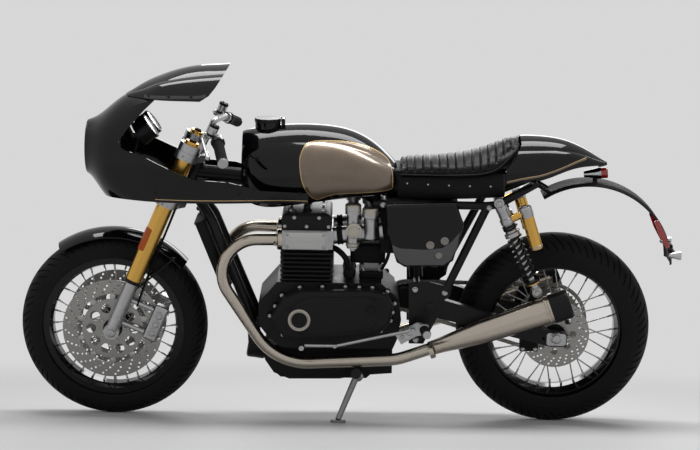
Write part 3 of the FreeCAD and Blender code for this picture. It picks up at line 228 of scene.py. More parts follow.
# %% Shared surface effects
def effect(name, inputs, build):
    """A node group; build gets the tree and its input sockets and returns roughness and height."""
    group = bpy.data.node_groups.new(name, "ShaderNodeTree")
    for socket, default in inputs.items():
        kind = "NodeSocketVector" if isinstance(default, tuple) else "NodeSocketFloat"
        group.interface.new_socket(name=socket, in_out="INPUT", socket_type=kind).default_value = default
    for socket in ("Roughness", "Height"):
        group.interface.new_socket(name=socket, in_out="OUTPUT", socket_type="NodeSocketFloat")
    results = build(group, group.nodes.new("NodeGroupInput").outputs)
    leave = group.nodes.new("NodeGroupOutput")
    for socket, result in zip(("Roughness", "Height"), results):
        group.links.new(result, leave.inputs[socket])
    return group


print("node groups can be made")

# %% The three effects
NOISE_LOW, NOISE_HIGH, BROAD = 0.3, 0.7, 9.0


def between(tree, value, given):
    """A noise value spread over the two given roughnesses."""
    return add(tree, "ShaderNodeMapRange",
               {"Value": value, "From Min": NOISE_LOW, "From Max": NOISE_HIGH,
                "To Min": given["Low"], "To Max": given["High"]}).outputs[0]


def uneven(tree, given):
    value = noise(tree, object_place(tree), given["Scale"], 4.0)
    return between(tree, value, given), value


def drawn_out(tree, given):
    stretch = add(tree, "ShaderNodeMapping", {"Vector": object_place(tree), "Rotation": given["Turn"],
                                              "Scale": given["Stretch"]})
    value = noise(tree, stretch.outputs[0], 1.0, 3.0)
    return between(tree, value, given), value


def pebbled(tree, given):
    place = object_place(tree)
    cells = add(tree, "ShaderNodeTexVoronoi", {"Vector": place, "Scale": given["Scale"]},
                feature="SMOOTH_F1")
    height = add(tree, "ShaderNodeMath", {0: cells.outputs["Distance"],
                                          1: noise(tree, place, given["Scale"], 3.0)}, operation="ADD")
    return between(tree, noise(tree, place, BROAD, 3.0), given), height.outputs[0]


POLISH = effect("uneven_polish", {"Scale": 12.0, "Low": 0.2, "High": 0.3}, uneven)
BRUSH = effect("brushed_grain", {"Turn": (0.0, 0.0, 0.0), "Stretch": (20.0, 400.0, 400.0),
                                 "Low": 0.2, "High": 0.4}, drawn_out)
PEBBLE = effect("pebbled_skin", {"Scale": 600.0, "Low": 0.4, "High": 0.6}, pebbled)
print("effects:", [group.name for group in bpy.data.node_groups])

# %% [markdown]
# Every finish is one Principled shader whose colour, roughness and relief follow an effect.  Its
# two colours are close together, because real paint and metal vary only a little.  A finish also
# names its material slots.  The first finish of a slot is worn by the construction's own pieces.

# %% How a finish is made
FINISHES, SLOTS = {}, {}


def rgba(colour):
    """A colour from three values, or a grey from one."""
    return (*colour, 1) if isinstance(colour, tuple) else (colour, colour, colour, 1)


def finish(name, slots, dark, light, group, bump, shader=None, distance=0.0005, **values):
    """A finish from an effect; values are set on the effect, and shader on the shader itself."""
    material = bpy.data.materials.new(name)
    tree = shader_tree(material)
    surface = add(tree, "ShaderNodeGroup", node_tree=group)
    for socket, value in values.items():
        surface.inputs[socket].default_value = value
    height = surface.outputs["Height"]
    colour = add(tree, "ShaderNodeMix", {0: height, 6: rgba(dark), 7: rgba(light)}, data_type="RGBA")
    relief = add(tree, "ShaderNodeBump", {"Height": height, "Strength": bump, "Distance": distance})
    skin = add(tree, "ShaderNodeBsdfPrincipled", {"Base Color": colour.outputs[2],
                                                  "Roughness": surface.outputs["Roughness"],
                                                  "Normal": relief.outputs[0]})
    for socket, value in (shader or {}).items():
        skin.inputs[socket].default_value = value
    add(tree, "ShaderNodeOutputMaterial", {"Surface": skin.outputs[0]})
    slots = slots.split()
    SLOTS[material.name] = slots[0]
    for slot in slots:
        FINISHES.setdefault(slot, material)
    return material


print("finishes can be made")

# %% [markdown]
# The machine is nearly all black, so its blacks have to differ in gloss: deep paint on the
# bodywork, satin on the frame, fine crackle on the castings, and dull plastic and rubber.  A low
# index of refraction keeps a dull black from going grey where it is seen at a flat angle.

# %% Blacks
DULL = {"IOR": 1.18}
gloss_black = finish("gloss_black", "body_black rim_black", (0.0015, 0.0015, 0.002), (0.004, 0.004, 0.005),
                     POLISH, 0.01, {"IOR": 1.36}, Scale=18.0, Low=0.05, High=0.1)
satin_black = finish("satin_black", "frame_black hub_black", (0.003, 0.003, 0.0035), (0.009, 0.009, 0.010),
                     PEBBLE, 0.06, {"IOR": 1.27}, Scale=900.0, Low=0.26, High=0.38)
engine_black = finish("engine_black", "engine_black", (0.004, 0.0037, 0.004), (0.012, 0.011, 0.012),
                      PEBBLE, 0.12, {"IOR": 1.24}, Scale=700.0, Low=0.34, High=0.46)
moulded_black = finish("moulded_black", "trim_black", 0.004, 0.011,
                       PEBBLE, 0.2, DULL, Scale=900.0, Low=0.5, High=0.66)
tyre_rubber = finish("tyre_rubber", "tyre", (0.0035, 0.0035, 0.004), (0.010, 0.010, 0.0105),
                     PEBBLE, 0.15, DULL, Scale=500.0, Low=0.5, High=0.7)
grip_rubber = finish("grip_rubber", "grip_rubber", 0.004, 0.009,
                     PEBBLE, 0.3, DULL, Scale=400.0, Low=0.6, High=0.75)
finish("smoked_screen", "screen_black", (0.006, 0.006, 0.007), (0.012, 0.012, 0.014),
       POLISH, 0.0, {"IOR": 1.4}, Scale=10.0, Low=0.05, High=0.09)
seat_leather = finish("seat_leather", "seat_leather", 0.005, (0.012, 0.0115, 0.0115),
                      PEBBLE, 0.35, {"IOR": 1.22}, 0.0008, Scale=420.0, Low=0.3, High=0.44)
dial_black = finish("dial_black", "trim_black", 0.006, 0.012,
                    PEBBLE, 0.02, Scale=900.0, Low=0.45, High=0.55)
recess_grey = finish("recess_grey", "body_black", (0.045, 0.044, 0.047), (0.075, 0.073, 0.077),
                     PEBBLE, 0.1, Scale=900.0, Low=0.4, High=0.52)
print("blacks:", len(SLOTS))

# %% [markdown]
# Metals are told apart by colour and grain: gold anodised tubes and brushed pipes have a drawn
# grain, castings are pebbled, and polished or turned parts only vary in their polish.  An image
# could carry the grain, but stretched noise needs no unwrapping and is fine at any distance.

# %% Metals
METAL = {"Metallic": 1.0}
ALONG_TUBE, ALONG_PIPE, ALONG_PLATE = (900.0, 900.0, 30.0), (30.0, 900.0, 900.0), (60.0, 900.0, 900.0)
fork_gold = finish("gold_anodised", "fork_gold", (0.62, 0.355, 0.075), (0.70, 0.42, 0.105),
                   BRUSH, 0.005, METAL, Stretch=ALONG_TUBE, Low=0.25, High=0.28)
exhaust_steel = finish("exhaust_steel", "exhaust_steel", (0.43, 0.38, 0.32), (0.52, 0.47, 0.405),
                       BRUSH, 0.02, METAL, Stretch=ALONG_PIPE, Low=0.19, High=0.25)
bare_alloy = finish("bare_alloy", "bare_alloy", (0.34, 0.34, 0.345), (0.5, 0.5, 0.505),
                    POLISH, 0.05, METAL, Scale=60.0, Low=0.26, High=0.4)
cast_alloy = finish("cast_alloy", "bare_alloy", (0.31, 0.285, 0.245), (0.46, 0.43, 0.375),
                    PEBBLE, 0.15, METAL, Scale=900.0, Low=0.34, High=0.5)
silver_plate = finish("silver_plate", "bare_alloy", (0.42, 0.42, 0.405), (0.5, 0.5, 0.48),
                      BRUSH, 0.01, METAL, Stretch=ALONG_PLATE, Turn=(0.0, 0.6, 0.0), Low=0.28, High=0.38)
chrome = finish("chrome", "chrome", (0.46, 0.46, 0.47), (0.56, 0.56, 0.57),
                POLISH, 0.0, METAL, Scale=20.0, Low=0.05, High=0.1)
bolt_steel = finish("bolt_steel", "chrome", 0.32, 0.46,
                    POLISH, 0.02, METAL, Scale=150.0, Low=0.16, High=0.28)
disc_steel = finish("disc_steel", "disc_steel", (0.24, 0.23, 0.22), (0.38, 0.37, 0.35),
                    POLISH, 0.05, METAL, Scale=300.0, Low=0.28, High=0.42)
finish("spoke_steel", "spoke_steel", (0.34, 0.34, 0.35), (0.5, 0.5, 0.51),
       POLISH, 0.02, METAL, Scale=120.0, Low=0.2, High=0.34)
chain_steel = finish("chain_steel", "chain_steel", (0.16, 0.15, 0.14), (0.34, 0.32, 0.29),
                     POLISH, 0.1, METAL, Scale=200.0, Low=0.3, High=0.5)
stand_steel = finish("stand_steel", "chain_steel", (0.16, 0.155, 0.15), (0.3, 0.29, 0.28),
                     POLISH, 0.05, METAL, Scale=90.0, Low=0.3, High=0.46)
print("with metals:", len(SLOTS))

# %% [markdown]
# A few small areas carry colour: the bronze panels under clear lacquer, their gold lines, the
# amber and red lenses, the marks on the dials, and clear glass.  Lacquer is a second, clear skin,
# which is the shader's coat, while glass lets the light through.

# %% Colours and glass
bronze = finish("bronze_lacquer", "body_black", (0.125, 0.09, 0.06), (0.185, 0.138, 0.098),
                POLISH, 0.01, {"Metallic": 0.6, "Coat Weight": 1.0, "Coat Roughness": 0.04},
                Scale=25.0, Low=0.28, High=0.36)
gold_line = finish("gold_line", "fork_gold", (0.45, 0.30, 0.12), (0.6, 0.42, 0.2),
                   POLISH, 0.0, {"Metallic": 0.4, "Coat Weight": 1.0}, Scale=40.0, Low=0.3, High=0.4)
lamp_red = finish("lamp_red", "lamp_red", (0.22, 0.004, 0.003), (0.5, 0.012, 0.008),
                  POLISH, 0.02, {"Coat Weight": 1.0, "Coat Roughness": 0.03}, Scale=80.0, Low=0.12, High=0.2)
amber_lens = finish("amber_lens", "lamp_red", (0.36, 0.055, 0.003), (0.52, 0.10, 0.005),
                    POLISH, 0.02, {"IOR": 1.35}, Scale=200.0, Low=0.1, High=0.2)
dial_white = finish("dial_white", "bare_alloy", (0.6, 0.6, 0.58), (0.75, 0.75, 0.73),
                    POLISH, 0.0, Scale=80.0, Low=0.4, High=0.5)
lamp_glass = finish("lamp_glass", "lamp_glass", 0.9, 0.94,
                    POLISH, 0.0, {"Transmission Weight": 1.0, "IOR": 1.3}, Scale=8.0, Low=0.0, High=0.01)
print("all finishes:", len(SLOTS))

# %% [markdown]
# The construction's own pieces each name a material slot, and the slot picks the finish.  Four of
# them look better in another finish than the one that their slot stands for.

# %% Finishes on the construction's own pieces
slots = {row["node"]: row["material_slot"] for row in frame["record"]["subparts"]}
SPECIAL = {"side_stand": stand_steel, "filler_lid": satin_black, "instruments": satin_black,
           "shock_springs": satin_black}
for name, thing in frame["nodes"].items():
    thing.data.materials.clear()
    thing.data.materials.append(SPECIAL.get(name, FINISHES[slots[name]]))
print("finished nodes:", len(slots))

# %% [markdown]
# Small pieces are drawn standing on their own origin with z pointing away from the surface, then
# put in place.  Drawing them in place would need awkward angles.  Most of them look out of the
# machine's left side, so that is the usual way.

# %% Placing
ALONG_Y = Vector((0, 1, 0))
LEFT = -ALONG_Y
MIRROR = Matrix.Diagonal((1, -1, 1, 1))


def facing(place, way=LEFT, turn=0.0):
    """Where a piece goes so that its z points along way."""
    aim = Vector(way).to_track_quat("Z", "Y").to_matrix().to_4x4()
    return Matrix.Translation(place) @ aim @ Matrix.Rotation(math.radians(turn), 4, "Z")


def shift(x, y, z):
    return Matrix.Translation((x, y, z))


def turned(degrees, axis="Z"):
    return Matrix.Rotation(math.radians(degrees), 4, axis)


def around(count, phase=0.0):
    """Equal turns round z."""
    return [Matrix.Rotation(2 * math.pi * (index + phase) / count, 4, "Z") for index in range(count)]


def on_side(y, spots, way=LEFT):
    """Places on a flat side, from (x, z) pairs."""
    return [facing((x, y, z), way) for x, z in spots]


def moved(mesh, place):
    mesh.transform(place)
    return mesh


def on_fork(mesh):
    return moved(mesh, FORK)


print("placing helpers ready")

# %% [markdown]
# Nearly every part of a motorcycle is turned, cut from bar, or stamped from sheet, and the helpers
# follow that.  A turned piece is an outline of (radius, height) corners spun once round z, a block
# is a cube with its edges beveled, and a plate is a filled outline with holes, drawn upwards.

# %% Turned pieces and bars
FLAT, MERGE = 1e-4, 0.001


def lathe(outline, steps=40, closed=False):
    mesh = bmesh.new()
    ring = [mesh.verts.new((radius, 0, height)) for radius, height in outline]
    ends = zip(ring, ring[1:] + ring[:1]) if closed else zip(ring, ring[1:])
    edges = [mesh.edges.new(pair) for pair in ends]
    bmesh.ops.spin(mesh, geom=ring + edges, cent=(0, 0, 0), axis=(0, 0, 1), angle=2 * math.pi,
                   steps=steps, use_merge=True)
    bmesh.ops.remove_doubles(mesh, verts=mesh.verts, dist=MERGE)
    bmesh.ops.recalc_face_normals(mesh, faces=mesh.faces)
    return mesh


def rounded(mesh, edges, soft, segments=2):
    bmesh.ops.bevel(mesh, geom=edges, offset=soft, segments=segments, profile=0.5, affect="EDGES",
                    material=-1)


def rod(start, end, radius, far_radius=None, sides=20, soft=0.6):
    start, end = Vector(start), Vector(end)
    mesh = bmesh.new()
    bmesh.ops.create_cone(mesh, cap_ends=True, segments=sides, radius1=radius, depth=(end - start).length,
                          radius2=radius if far_radius is None else far_radius)
    ends = [edge for edge in mesh.edges if abs(edge.verts[0].co.z - edge.verts[1].co.z) < FLAT]
    rounded(mesh, ends, soft)
    return moved(mesh, facing((start + end) / 2, end - start))


print("turned pieces and bars ready")

# %% Blocks
def block(size, place=(0, 0, 0), soft=1.5, segments=2):
    mesh = bmesh.new()
    bmesh.ops.create_cube(mesh, size=1, matrix=Matrix.Diagonal(Vector(size).to_4d()))
    rounded(mesh, mesh.edges[:], soft, segments)
    return moved(mesh, Matrix.Translation(place))


print("blocks ready")

# %% Plates
SHARP_TURN = 0.8


def plate(loops, low, high, soft=0.0):
    """A flat plate between two heights from an outline and any holes in it."""
    mesh = bmesh.new()
    edges = []
    for loop in loops:
        ring = [mesh.verts.new((x, y, low)) for x, y in loop]
        edges += [mesh.edges.new(pair) for pair in zip(ring, ring[1:] + ring[:1])]
    faces = [item for item in bmesh.ops.triangle_fill(mesh, use_beauty=True, edges=edges)["geom"]
             if isinstance(item, bmesh.types.BMFace)]
    raised = bmesh.ops.extrude_face_region(mesh, geom=faces)["geom"]
    top = [item for item in raised if isinstance(item, bmesh.types.BMVert)]
    bmesh.ops.translate(mesh, verts=top, vec=(0, 0, high - low))
    bmesh.ops.recalc_face_normals(mesh, faces=mesh.faces)
    if soft:
        rounded(mesh, [edge for edge in mesh.edges if edge.calc_face_angle(0) > SHARP_TURN
                       and all(abs(vert.co.z - high) < FLAT for vert in edge.verts)], soft, 3)
    return mesh


def circle(radius, count, middle=(0, 0), phase=0.0):
    turns = [2 * math.pi * (index + phase) / count for index in range(count)]
    return [(middle[0] + radius * math.cos(turn), middle[1] + radius * math.sin(turn)) for turn in turns]


def sideways(mesh, y):
    """Turn a mesh drawn in x and z as (x, y) so that its height points out of the left side."""
    mesh.transform(Matrix(((1, 0, 0, 0), (0, 0, -1, -y), (0, 1, 0, 0), (0, 0, 0, 1))))
    bmesh.ops.recalc_face_normals(mesh, faces=mesh.faces)
    return mesh


print("plates ready")

# %% [markdown]
# Hoses, stays and sewn edges are bent bars.  A curve object with a bevel could draw them, but a
# mesh can be mirrored and joined like all the rest.  A few points are joined by a soft curve,
# circles are set along it, and each circle is bridged to the next.

# %% Soft curves and bent bars
def smooth(points, steps=6, loop=False):
    """Points on a soft curve through the given ones."""
    points = [Vector(point) for point in points]
    last = len(points) if loop else len(points) - 1
    made = []
    for index in range(last):
        before = points[index - 1] if loop or index else points[0]
        here, there = points[index], points[(index + 1) % len(points)]
        after = points[(index + 2) % len(points)] if loop or index + 2 < len(points) else points[-1]
        for t in (step / steps for step in range(steps)):
            made.append(((2 * here) + (there - before) * t
                         + (2 * before - 5 * here + 4 * there - after) * t ** 2
                         + (3 * here - before - 3 * there + after) * t ** 3) / 2)
    return made if loop else made + [points[-1]]


def sweep(points, radius, sides=10):
    """A round bar through the points."""
    mesh = bmesh.new()
    rings = []
    for index, point in enumerate(points):
        way = Vector(points[min(index + 1, len(points) - 1)]) - Vector(points[max(index - 1, 0)])
        ring = bmesh.ops.create_circle(mesh, cap_ends=False, segments=sides, radius=radius,
                                       matrix=facing(point, way))["verts"]
        rings.append(list({edge for vert in ring for edge in vert.link_edges}))
    for one, other in zip(rings, rings[1:]):
        bmesh.ops.bridge_loops(mesh, edges=one + other)
    bmesh.ops.holes_fill(mesh, edges=rings[0] + rings[-1], sides=sides)
    bmesh.ops.recalc_face_normals(mesh, faces=mesh.faces)
    return mesh


print("bent bars ready")

# %% [markdown]
# A real machine has far more pieces than kinds of piece, so a mesh is drawn once and copied.
# Linked objects would be lighter, but a set of screws is one piece here.  What the left side has,
# the right side mostly has too, as a mirror image with its faces turned back.

# %% Copies
def copies(mesh, places):
    """One mesh holding a copy of the given one at each place."""
    one, whole = bpy.data.meshes.new("one"), bmesh.new()
    mesh.to_mesh(one)
    mesh.free()
    for place in places:
        set_down = one.copy()
        set_down.transform(place)
        whole.from_mesh(set_down)
        bpy.data.meshes.remove(set_down)
    bpy.data.meshes.remove(one)
    return whole


def joined(*meshes):
    whole = bmesh.new()
    for mesh in meshes:
        part = bpy.data.meshes.new("part")
        mesh.to_mesh(part)
        mesh.free()
        whole.from_mesh(part)
        bpy.data.meshes.remove(part)
    return whole


def both_sides(mesh):
    """The mesh and its mirror image across the machine."""
    other = mesh.copy()
    other.transform(MIRROR)
    bmesh.ops.reverse_faces(other, faces=other.faces)
    return joined(mesh, other)


print("copies ready")

# %% [markdown]
# Every new piece is handed over in the same way: brought from the machine's own space into the
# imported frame, smoothed but for its creases, given its finish, and tied to the body that carries
# it.  It may also take the place of a construction piece.

# %% Standing pieces in the frame
def publish(name, mesh, material, crease=35, body="chassis", replaces=()):
    """Stand a finished mesh in the frame, smooth but for its creases, on the body that carries it."""
    mesh.transform(MACHINE)
    data = bpy.data.meshes.new(name)
    mesh.to_mesh(data)
    mesh.free()
    data.shade_smooth()
    data.set_sharp_from_angle(angle=math.radians(crease))
    data.materials.append(material)
    thing = bpy.data.objects.new(name, data)
    bpy.context.scene.collection.objects.link(thing)
    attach(thing, body)
    if replaces:
        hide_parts(*replaces)
    return thing


def publish_pair(name, mesh, material, crease=35, **others):
    return publish(name, both_sides(mesh), material, crease, **others)


def publish_on_fork(name, mesh, material, crease=35, **others):
    return publish(name, on_fork(both_sides(mesh)), material, crease, body="steering", **others)


print("pieces can be published")

# %% [markdown]
# Two kinds of fastener turn up everywhere: a hexagon head on a flange, and a round head with a
# hexagon socket.  The thread never shows, so only the head is made.  Each is sized by one radius,
# and a copy of it stands wherever the machine comes apart.

# %% Fasteners
def bolt(radius):
    """A flanged hexagon head."""
    flange = lathe([(0, 0), (radius * 1.3, 0), (radius * 1.3, radius * 0.16), (radius * 1.1, radius * 0.3),
                    (0, radius * 0.3)], 18)
    head = bmesh.new()
    bmesh.ops.create_cone(head, cap_ends=True, segments=6, radius1=radius, radius2=radius, depth=radius)
    rounded(head, head.edges[:], radius * 0.1)
    return joined(flange, moved(head, shift(0, 0, radius * 0.75)))


def cap_screw(radius):
    """A round head with a hexagon socket."""
    head = lathe([(radius, 0), (radius, radius * 0.9), (radius * 0.85, radius * 1.05),
                  (radius * 0.5, radius * 1.05)], 20)
    socket = bmesh.new()
    ring = bmesh.ops.create_circle(socket, cap_ends=True, segments=6, radius=radius * 0.5)["verts"]
    bmesh.ops.translate(socket, verts=ring, vec=(0, 0, radius * 0.55))
    wall = bmesh.new()
    bmesh.ops.create_cone(wall, cap_ends=False, segments=6, radius1=radius * 0.5, radius2=radius * 0.5,
                          depth=radius * 0.5)
    bmesh.ops.reverse_faces(wall, faces=wall.faces)
    return joined(head, socket, moved(wall, shift(0, 0, radius * 0.8)))


print("fasteners ready")

# %% [markdown]
# Paint lines and flat trim follow the bodywork.  They could be painted in the material, but a thin
# skin of its own keeps a crisp edge.  Its points are cast onto the construction's own surface from
# the side and lifted a hair, and a grid is laid over them.

# %% Casting onto a surface
CAST_FROM, NEAR_SIDE = 400, 150


def surface_of(node):
    mesh = bmesh.new()
    mesh.from_mesh(frame["nodes"][node].data)
    mesh.transform(TO_MACHINE)
    tree = BVHTree.FromBMesh(mesh)
    mesh.free()
    return tree


def cast(tree, x, z, side, lift):
    """The place on a surface seen from one side, lifted off it."""
    spot, normal, _, _ = tree.ray_cast(Vector((x, side * CAST_FROM, z)), Vector((0, -side, 0)))
    if spot is None:
        spot, normal, _, _ = tree.find_nearest(Vector((x, side * NEAR_SIDE, z)))
    if normal.y * side < 0:
        normal = -normal
    return spot + normal * lift


tank, cowl, shell, screen = map(surface_of, ("fuel_tank", "tail_cowl", "fairing", "windscreen"))
seat_pan = surface_of("seat_base")
print("surfaces ready")

# %% A grid over cast places
def quads(rows, side, loop=False):
    """A grid laid over rows of equally many places, turned to the given side."""
    if loop:
        rows = [row + row[:1] for row in rows]
    mesh = bmesh.new()
    flat = bmesh.ops.create_grid(mesh, x_segments=len(rows[0]) - 1, y_segments=len(rows) - 1,
                                 size=1)["verts"]
    flat.sort(key=lambda vert: (round(vert.co.y, 4), vert.co.x))
    for vert, place in zip(flat, [place for row in rows for place in row]):
        vert.co = place
    bmesh.ops.remove_doubles(mesh, verts=mesh.verts, dist=0.01)
    mesh.normal_update()
    if sum(face.normal.y * face.calc_area() for face in mesh.faces) * side < 0:
        bmesh.ops.reverse_faces(mesh, faces=mesh.faces)
    return mesh


print("grids ready")

# %% Patches and stripes
def patch(tree, outline, side, lift, rings):
    """A skin over everything inside a soft closed outline of (x, z) corners."""
    loop = smooth(outline, 8, loop=True)
    middle = sum(loop, Vector((0, 0))) / len(loop)
    rows = []
    for ring in range(rings + 1):
        share = max(ring / rings, 0.001)
        rows.append([cast(tree, *(middle + (corner - middle) * share), side, lift if ring < rings else 0.5)
                     for corner in loop])
    return quads(rows, side, loop=True)


def stripe(tree, path, side, width, lift=0.9, loop=False):
    """A line of the given width along a soft path of (x, z) corners."""
    line = smooth(path, 8, loop=loop)
    rows = ([], [], [])
    for index, here in enumerate(line):
        before = line[index - 1] if loop or index else here
        after = line[(index + 1) % len(line)] if loop or index + 1 < len(line) else here
        along = (after - before).normalized()
        for row, share in zip(rows, (-0.5, 0, 0.5)):
            spot = here + Vector((-along.y, along.x)) * (width * share)
            row.append(cast(tree, spot.x, spot.y, side, lift))
    return quads(rows, side, loop=loop)


def stripes(*settings, **others):
    """The same stripe cast onto both sides."""
    return joined(*[stripe(*settings[:2], side, *settings[2:], **others) for side in (-1, 1)])


print("patches and stripes ready")

# %% [markdown]
# The tank carries a bronze panel at each knee, edged in gold.  A gold line follows the hem of the
# fairing, and a bronze band with a gold edge follows the cowl.  Each is a handful of corners on
# the side view, rounded by the soft curve and bent over the bodywork by the casting.

# %% Knee panels and lines
KNEE = [(-112, 871), (-103, 903), (-88, 919), (-56, 926), (12, 925), (59, 917), (106, 902), (144, 880),
        (166, 857), (176, 829), (177, 797), (171, 780), (90, 772), (14, 768), (-17, 763), (-54, 748),
        (-70, 753), (-89, 776), (-105, 814)]
HEM = [(-560, 747), (-420, 747), (-280, 747), (-160, 747), (-86, 747)]
COWL_LINE = [(536, 813), (581, 825), (641, 835), (689, 849), (725, 862), (761, 875), (788, 882)]
publish("knee_panels", joined(*[patch(tank, KNEE, side, 1.8, 30) for side in (-1, 1)]), bronze)
publish("knee_panel_lines", stripes(tank, KNEE, 3, 2.1, loop=True), gold_line)
publish("fairing_line", stripes(shell, HEM, 2.6), gold_line)
publish("cowl_bands", stripes(cowl, [(x, z - 3.5) for x, z in COWL_LINE], 5, 0.7), bronze)
publish("cowl_lines", stripes(cowl, COWL_LINE, 2.2, 1.0), gold_line)
print("paint lines done")

# %% [markdown]
# Where the cowl meets the seat's base a thin strip closes the joint, and a soft block fills the
# place between the tank and the seat.  The strip is cast onto both pieces, so it starts on the
# one and ends on the other without a step.

# %% Joints between bodywork
closing = [[cast(tree, x, z, -1, 0.7) for z in range(786, 846, 4)]
           for tree, x in ((seat_pan, 524), (seat_pan, 530.8), (cowl, 533), (cowl, 536))]
publish_pair("cowl_joints", quads(closing, -1), gloss_black, 60)
publish("seat_buffer", block((24, 176, 66), (196, 0, 803), 3, 3), moulded_black)
print("joints closed")

# %% [markdown]
# The tyres get their tread here.  A displaced texture would need millions of faces for edges as
# crisp as these.  So the crown is a fine grid, some of its faces are picked as grooves, and those
# are sunk.  Twisting the grid afterwards sweeps the grooves backwards.

# %% Which faces are grooves
PITCHES, COLUMNS = 34, 8
LONG_GROOVES, SHORT_GROOVES = (9, 58), (40, 62)


def is_groove(middle, crown, half):
    """Whether a face of the crown belongs to a groove: long ones from the middle, short ones between."""
    out = math.hypot(middle.x, middle.y) - crown
    if math.hypot(out, middle.z) < half - 4:
        return False
    slope = abs(math.degrees(math.atan2(middle.z, out)))
    turn = math.atan2(middle.y, middle.x) / (2 * math.pi) + 1
    column = int(turn * PITCHES * COLUMNS + 0.001) % COLUMNS
    near = 0 if middle.z < 0 else COLUMNS // 2
    between_long = column == (near + COLUMNS // 2) % COLUMNS
    return ((column == near and LONG_GROOVES[0] < slope < LONG_GROOVES[1])
            or (between_long and SHORT_GROOVES[0] < slope < SHORT_GROOVES[1]))


print("grooves on", PITCHES, "pitches")

# %% Tyres
GROOVE_DEPTH, GROOVE_WALL, SWEEP, SWEPT_TO = 3.5, 0.7, 0.16, 1.3
BEAD_RADIUS, HEEL_RADIUS, WALL = 216, 228, 8
SECTION_START, SECTION_TURN, SECTION_STEPS = -12, 204, 48
SHALLOW_LINES, SHALLOW_DEPTH = (3, 4, 5, 8, 40, 43, 44, 45), 0.9


def treaded_tyre(width, node, bead_half):
    low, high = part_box(node)
    half = width / 2
    crown = (high[0] - low[0]) * 500 - half
    outline = [(BEAD_RADIUS, -bead_half), (HEEL_RADIUS, -bead_half)]
    for index in range(SECTION_STEPS + 1):
        angle = math.radians(SECTION_START + SECTION_TURN * index / SECTION_STEPS)
        reach = half - (SHALLOW_DEPTH if index in SHALLOW_LINES else 0.0)
        outline.append((crown + reach * math.sin(angle), -reach * math.cos(angle)))
    outline += [(HEEL_RADIUS, bead_half), (BEAD_RADIUS, bead_half), (BEAD_RADIUS, bead_half - WALL)]
    inside = half - WALL
    outline += [(crown + inside * math.sin(angle), inside * math.cos(angle))
                for angle in map(math.radians, range(0, 181, 20))]
    mesh = lathe(outline + [(BEAD_RADIUS, WALL - bead_half)], PITCHES * COLUMNS, closed=True)
    grooves = [face for face in mesh.faces if is_groove(face.calc_center_median(), crown, half)]
    bmesh.ops.inset_region(mesh, faces=grooves, thickness=GROOVE_WALL, depth=-GROOVE_DEPTH,
                           use_even_offset=True)
    for vert in mesh.verts:
        out = math.hypot(vert.co.x, vert.co.y) - crown
        slope = abs(math.atan2(vert.co.z, out))
        if out > 0 and slope < SWEPT_TO:
            vert.co.xy = Matrix.Rotation(SWEEP * slope, 2) @ vert.co.xy
    return moved(mesh, facing((0, 0, 0), ALONG_Y))


for width, bead_half, name, space in ((120, 43.7, "front", FRONT_WHEEL), (160, 56.7, "rear", REAR_WHEEL)):
    tyre = moved(treaded_tyre(width, name + "_tyre", bead_half), space)
    print(name, "tyre of", len(tyre.faces), "faces")
    publish(name + "_tyre_tread", tyre, tyre_rubber, 40, body=name + "_wheel", replaces=[name + "_tyre"])

# %% [markdown]
# A front disc is two pieces on the real machine: a drilled band that floats on buttons, and a
# carrier bolted to the hub.  The rear disc is one drilled plate.  Booleans could cut the holes,
# but a plate filled between its outlines has clean faces at once.

# %% Brake discs
FRONT_DISC_Y, REAR_DISC_Y, HALF_DISC, DRILL = 69.5, 88, 2.5, 3.6


def drilled(rows, count, step):
    """Holes in rows, each row turned a little further than the last."""
    return [circle(DRILL, 8, middle) for index, row in enumerate(rows)
            for middle in circle(row, count, phase=step * index)]


def publish_wheel(name, mesh, material, wheel, *others, **more):
    """Publish a piece drawn round the axle."""
    publish(name, moved(mesh, FRONT_WHEEL if wheel == "front" else REAR_WHEEL), material, *others,
            body=wheel + "_wheel", **more)


band = plate([circle(160, 120), circle(114, 80)] + drilled((121, 131, 142, 152), 24, 0.27),
             -HALF_DISC, HALF_DISC)
carrier = plate([circle(98, 80), circle(31, 40)] + [circle(16, 20, middle) for middle in circle(69, 10)],
                -2.2, 2.2, 0.6)
webs = copies(block((26, 15, 4), soft=0.6), [turn @ shift(104, 0, 0) for turn in around(10, 0.5)])
buttons = copies(lathe([(0, -4), (6, -4), (9, -3.4), (9, 3.4), (6, 4), (0, 4)], 20),
                 [shift(x, y, 0) for x, y in circle(106, 10, phase=0.5)])
disc_place = facing((0, -FRONT_DISC_Y, 0), ALONG_Y)
discs = moved(joined(band, carrier, webs), disc_place)
publish_wheel("front_disc_bands", both_sides(discs), disc_steel, "front", 30, replaces=["front_discs"])
publish_wheel("front_disc_buttons", both_sides(moved(buttons, disc_place)), bolt_steel, "front")
rear_disc = plate([circle(110, 100), circle(33, 40)] + [circle(11, 16, middle) for middle in circle(58, 8)]
                  + drilled((82, 91, 101), 24, 0.3), -HALF_DISC, HALF_DISC)
rear_disc = moved(rear_disc, facing((0, -REAR_DISC_Y, 0), ALONG_Y))
publish_wheel("rear_disc_drilled", rear_disc, disc_steel, "rear", 30, replaces=["rear_disc"])
print("discs done")

# %% [markdown]
# Each spoke screws into a nipple that stands in the rim, in line with its own spoke.  The places
# could be measured on the spokes' mesh, but it is simpler to work out the lacing again from the
# hub's sizes, and every nipple then sits on a spoke.

# %% Nipples and disc bolts
NIPPLE_RADIUS, FLANGE_OFFSET, SLANT, QUARTER = 200, 34.5, 34, 8
LACING = ((-1, 1, 3, 5), (-1, -1, -3, 11), (1, 1, -3, 5), (1, -1, 3, 11))


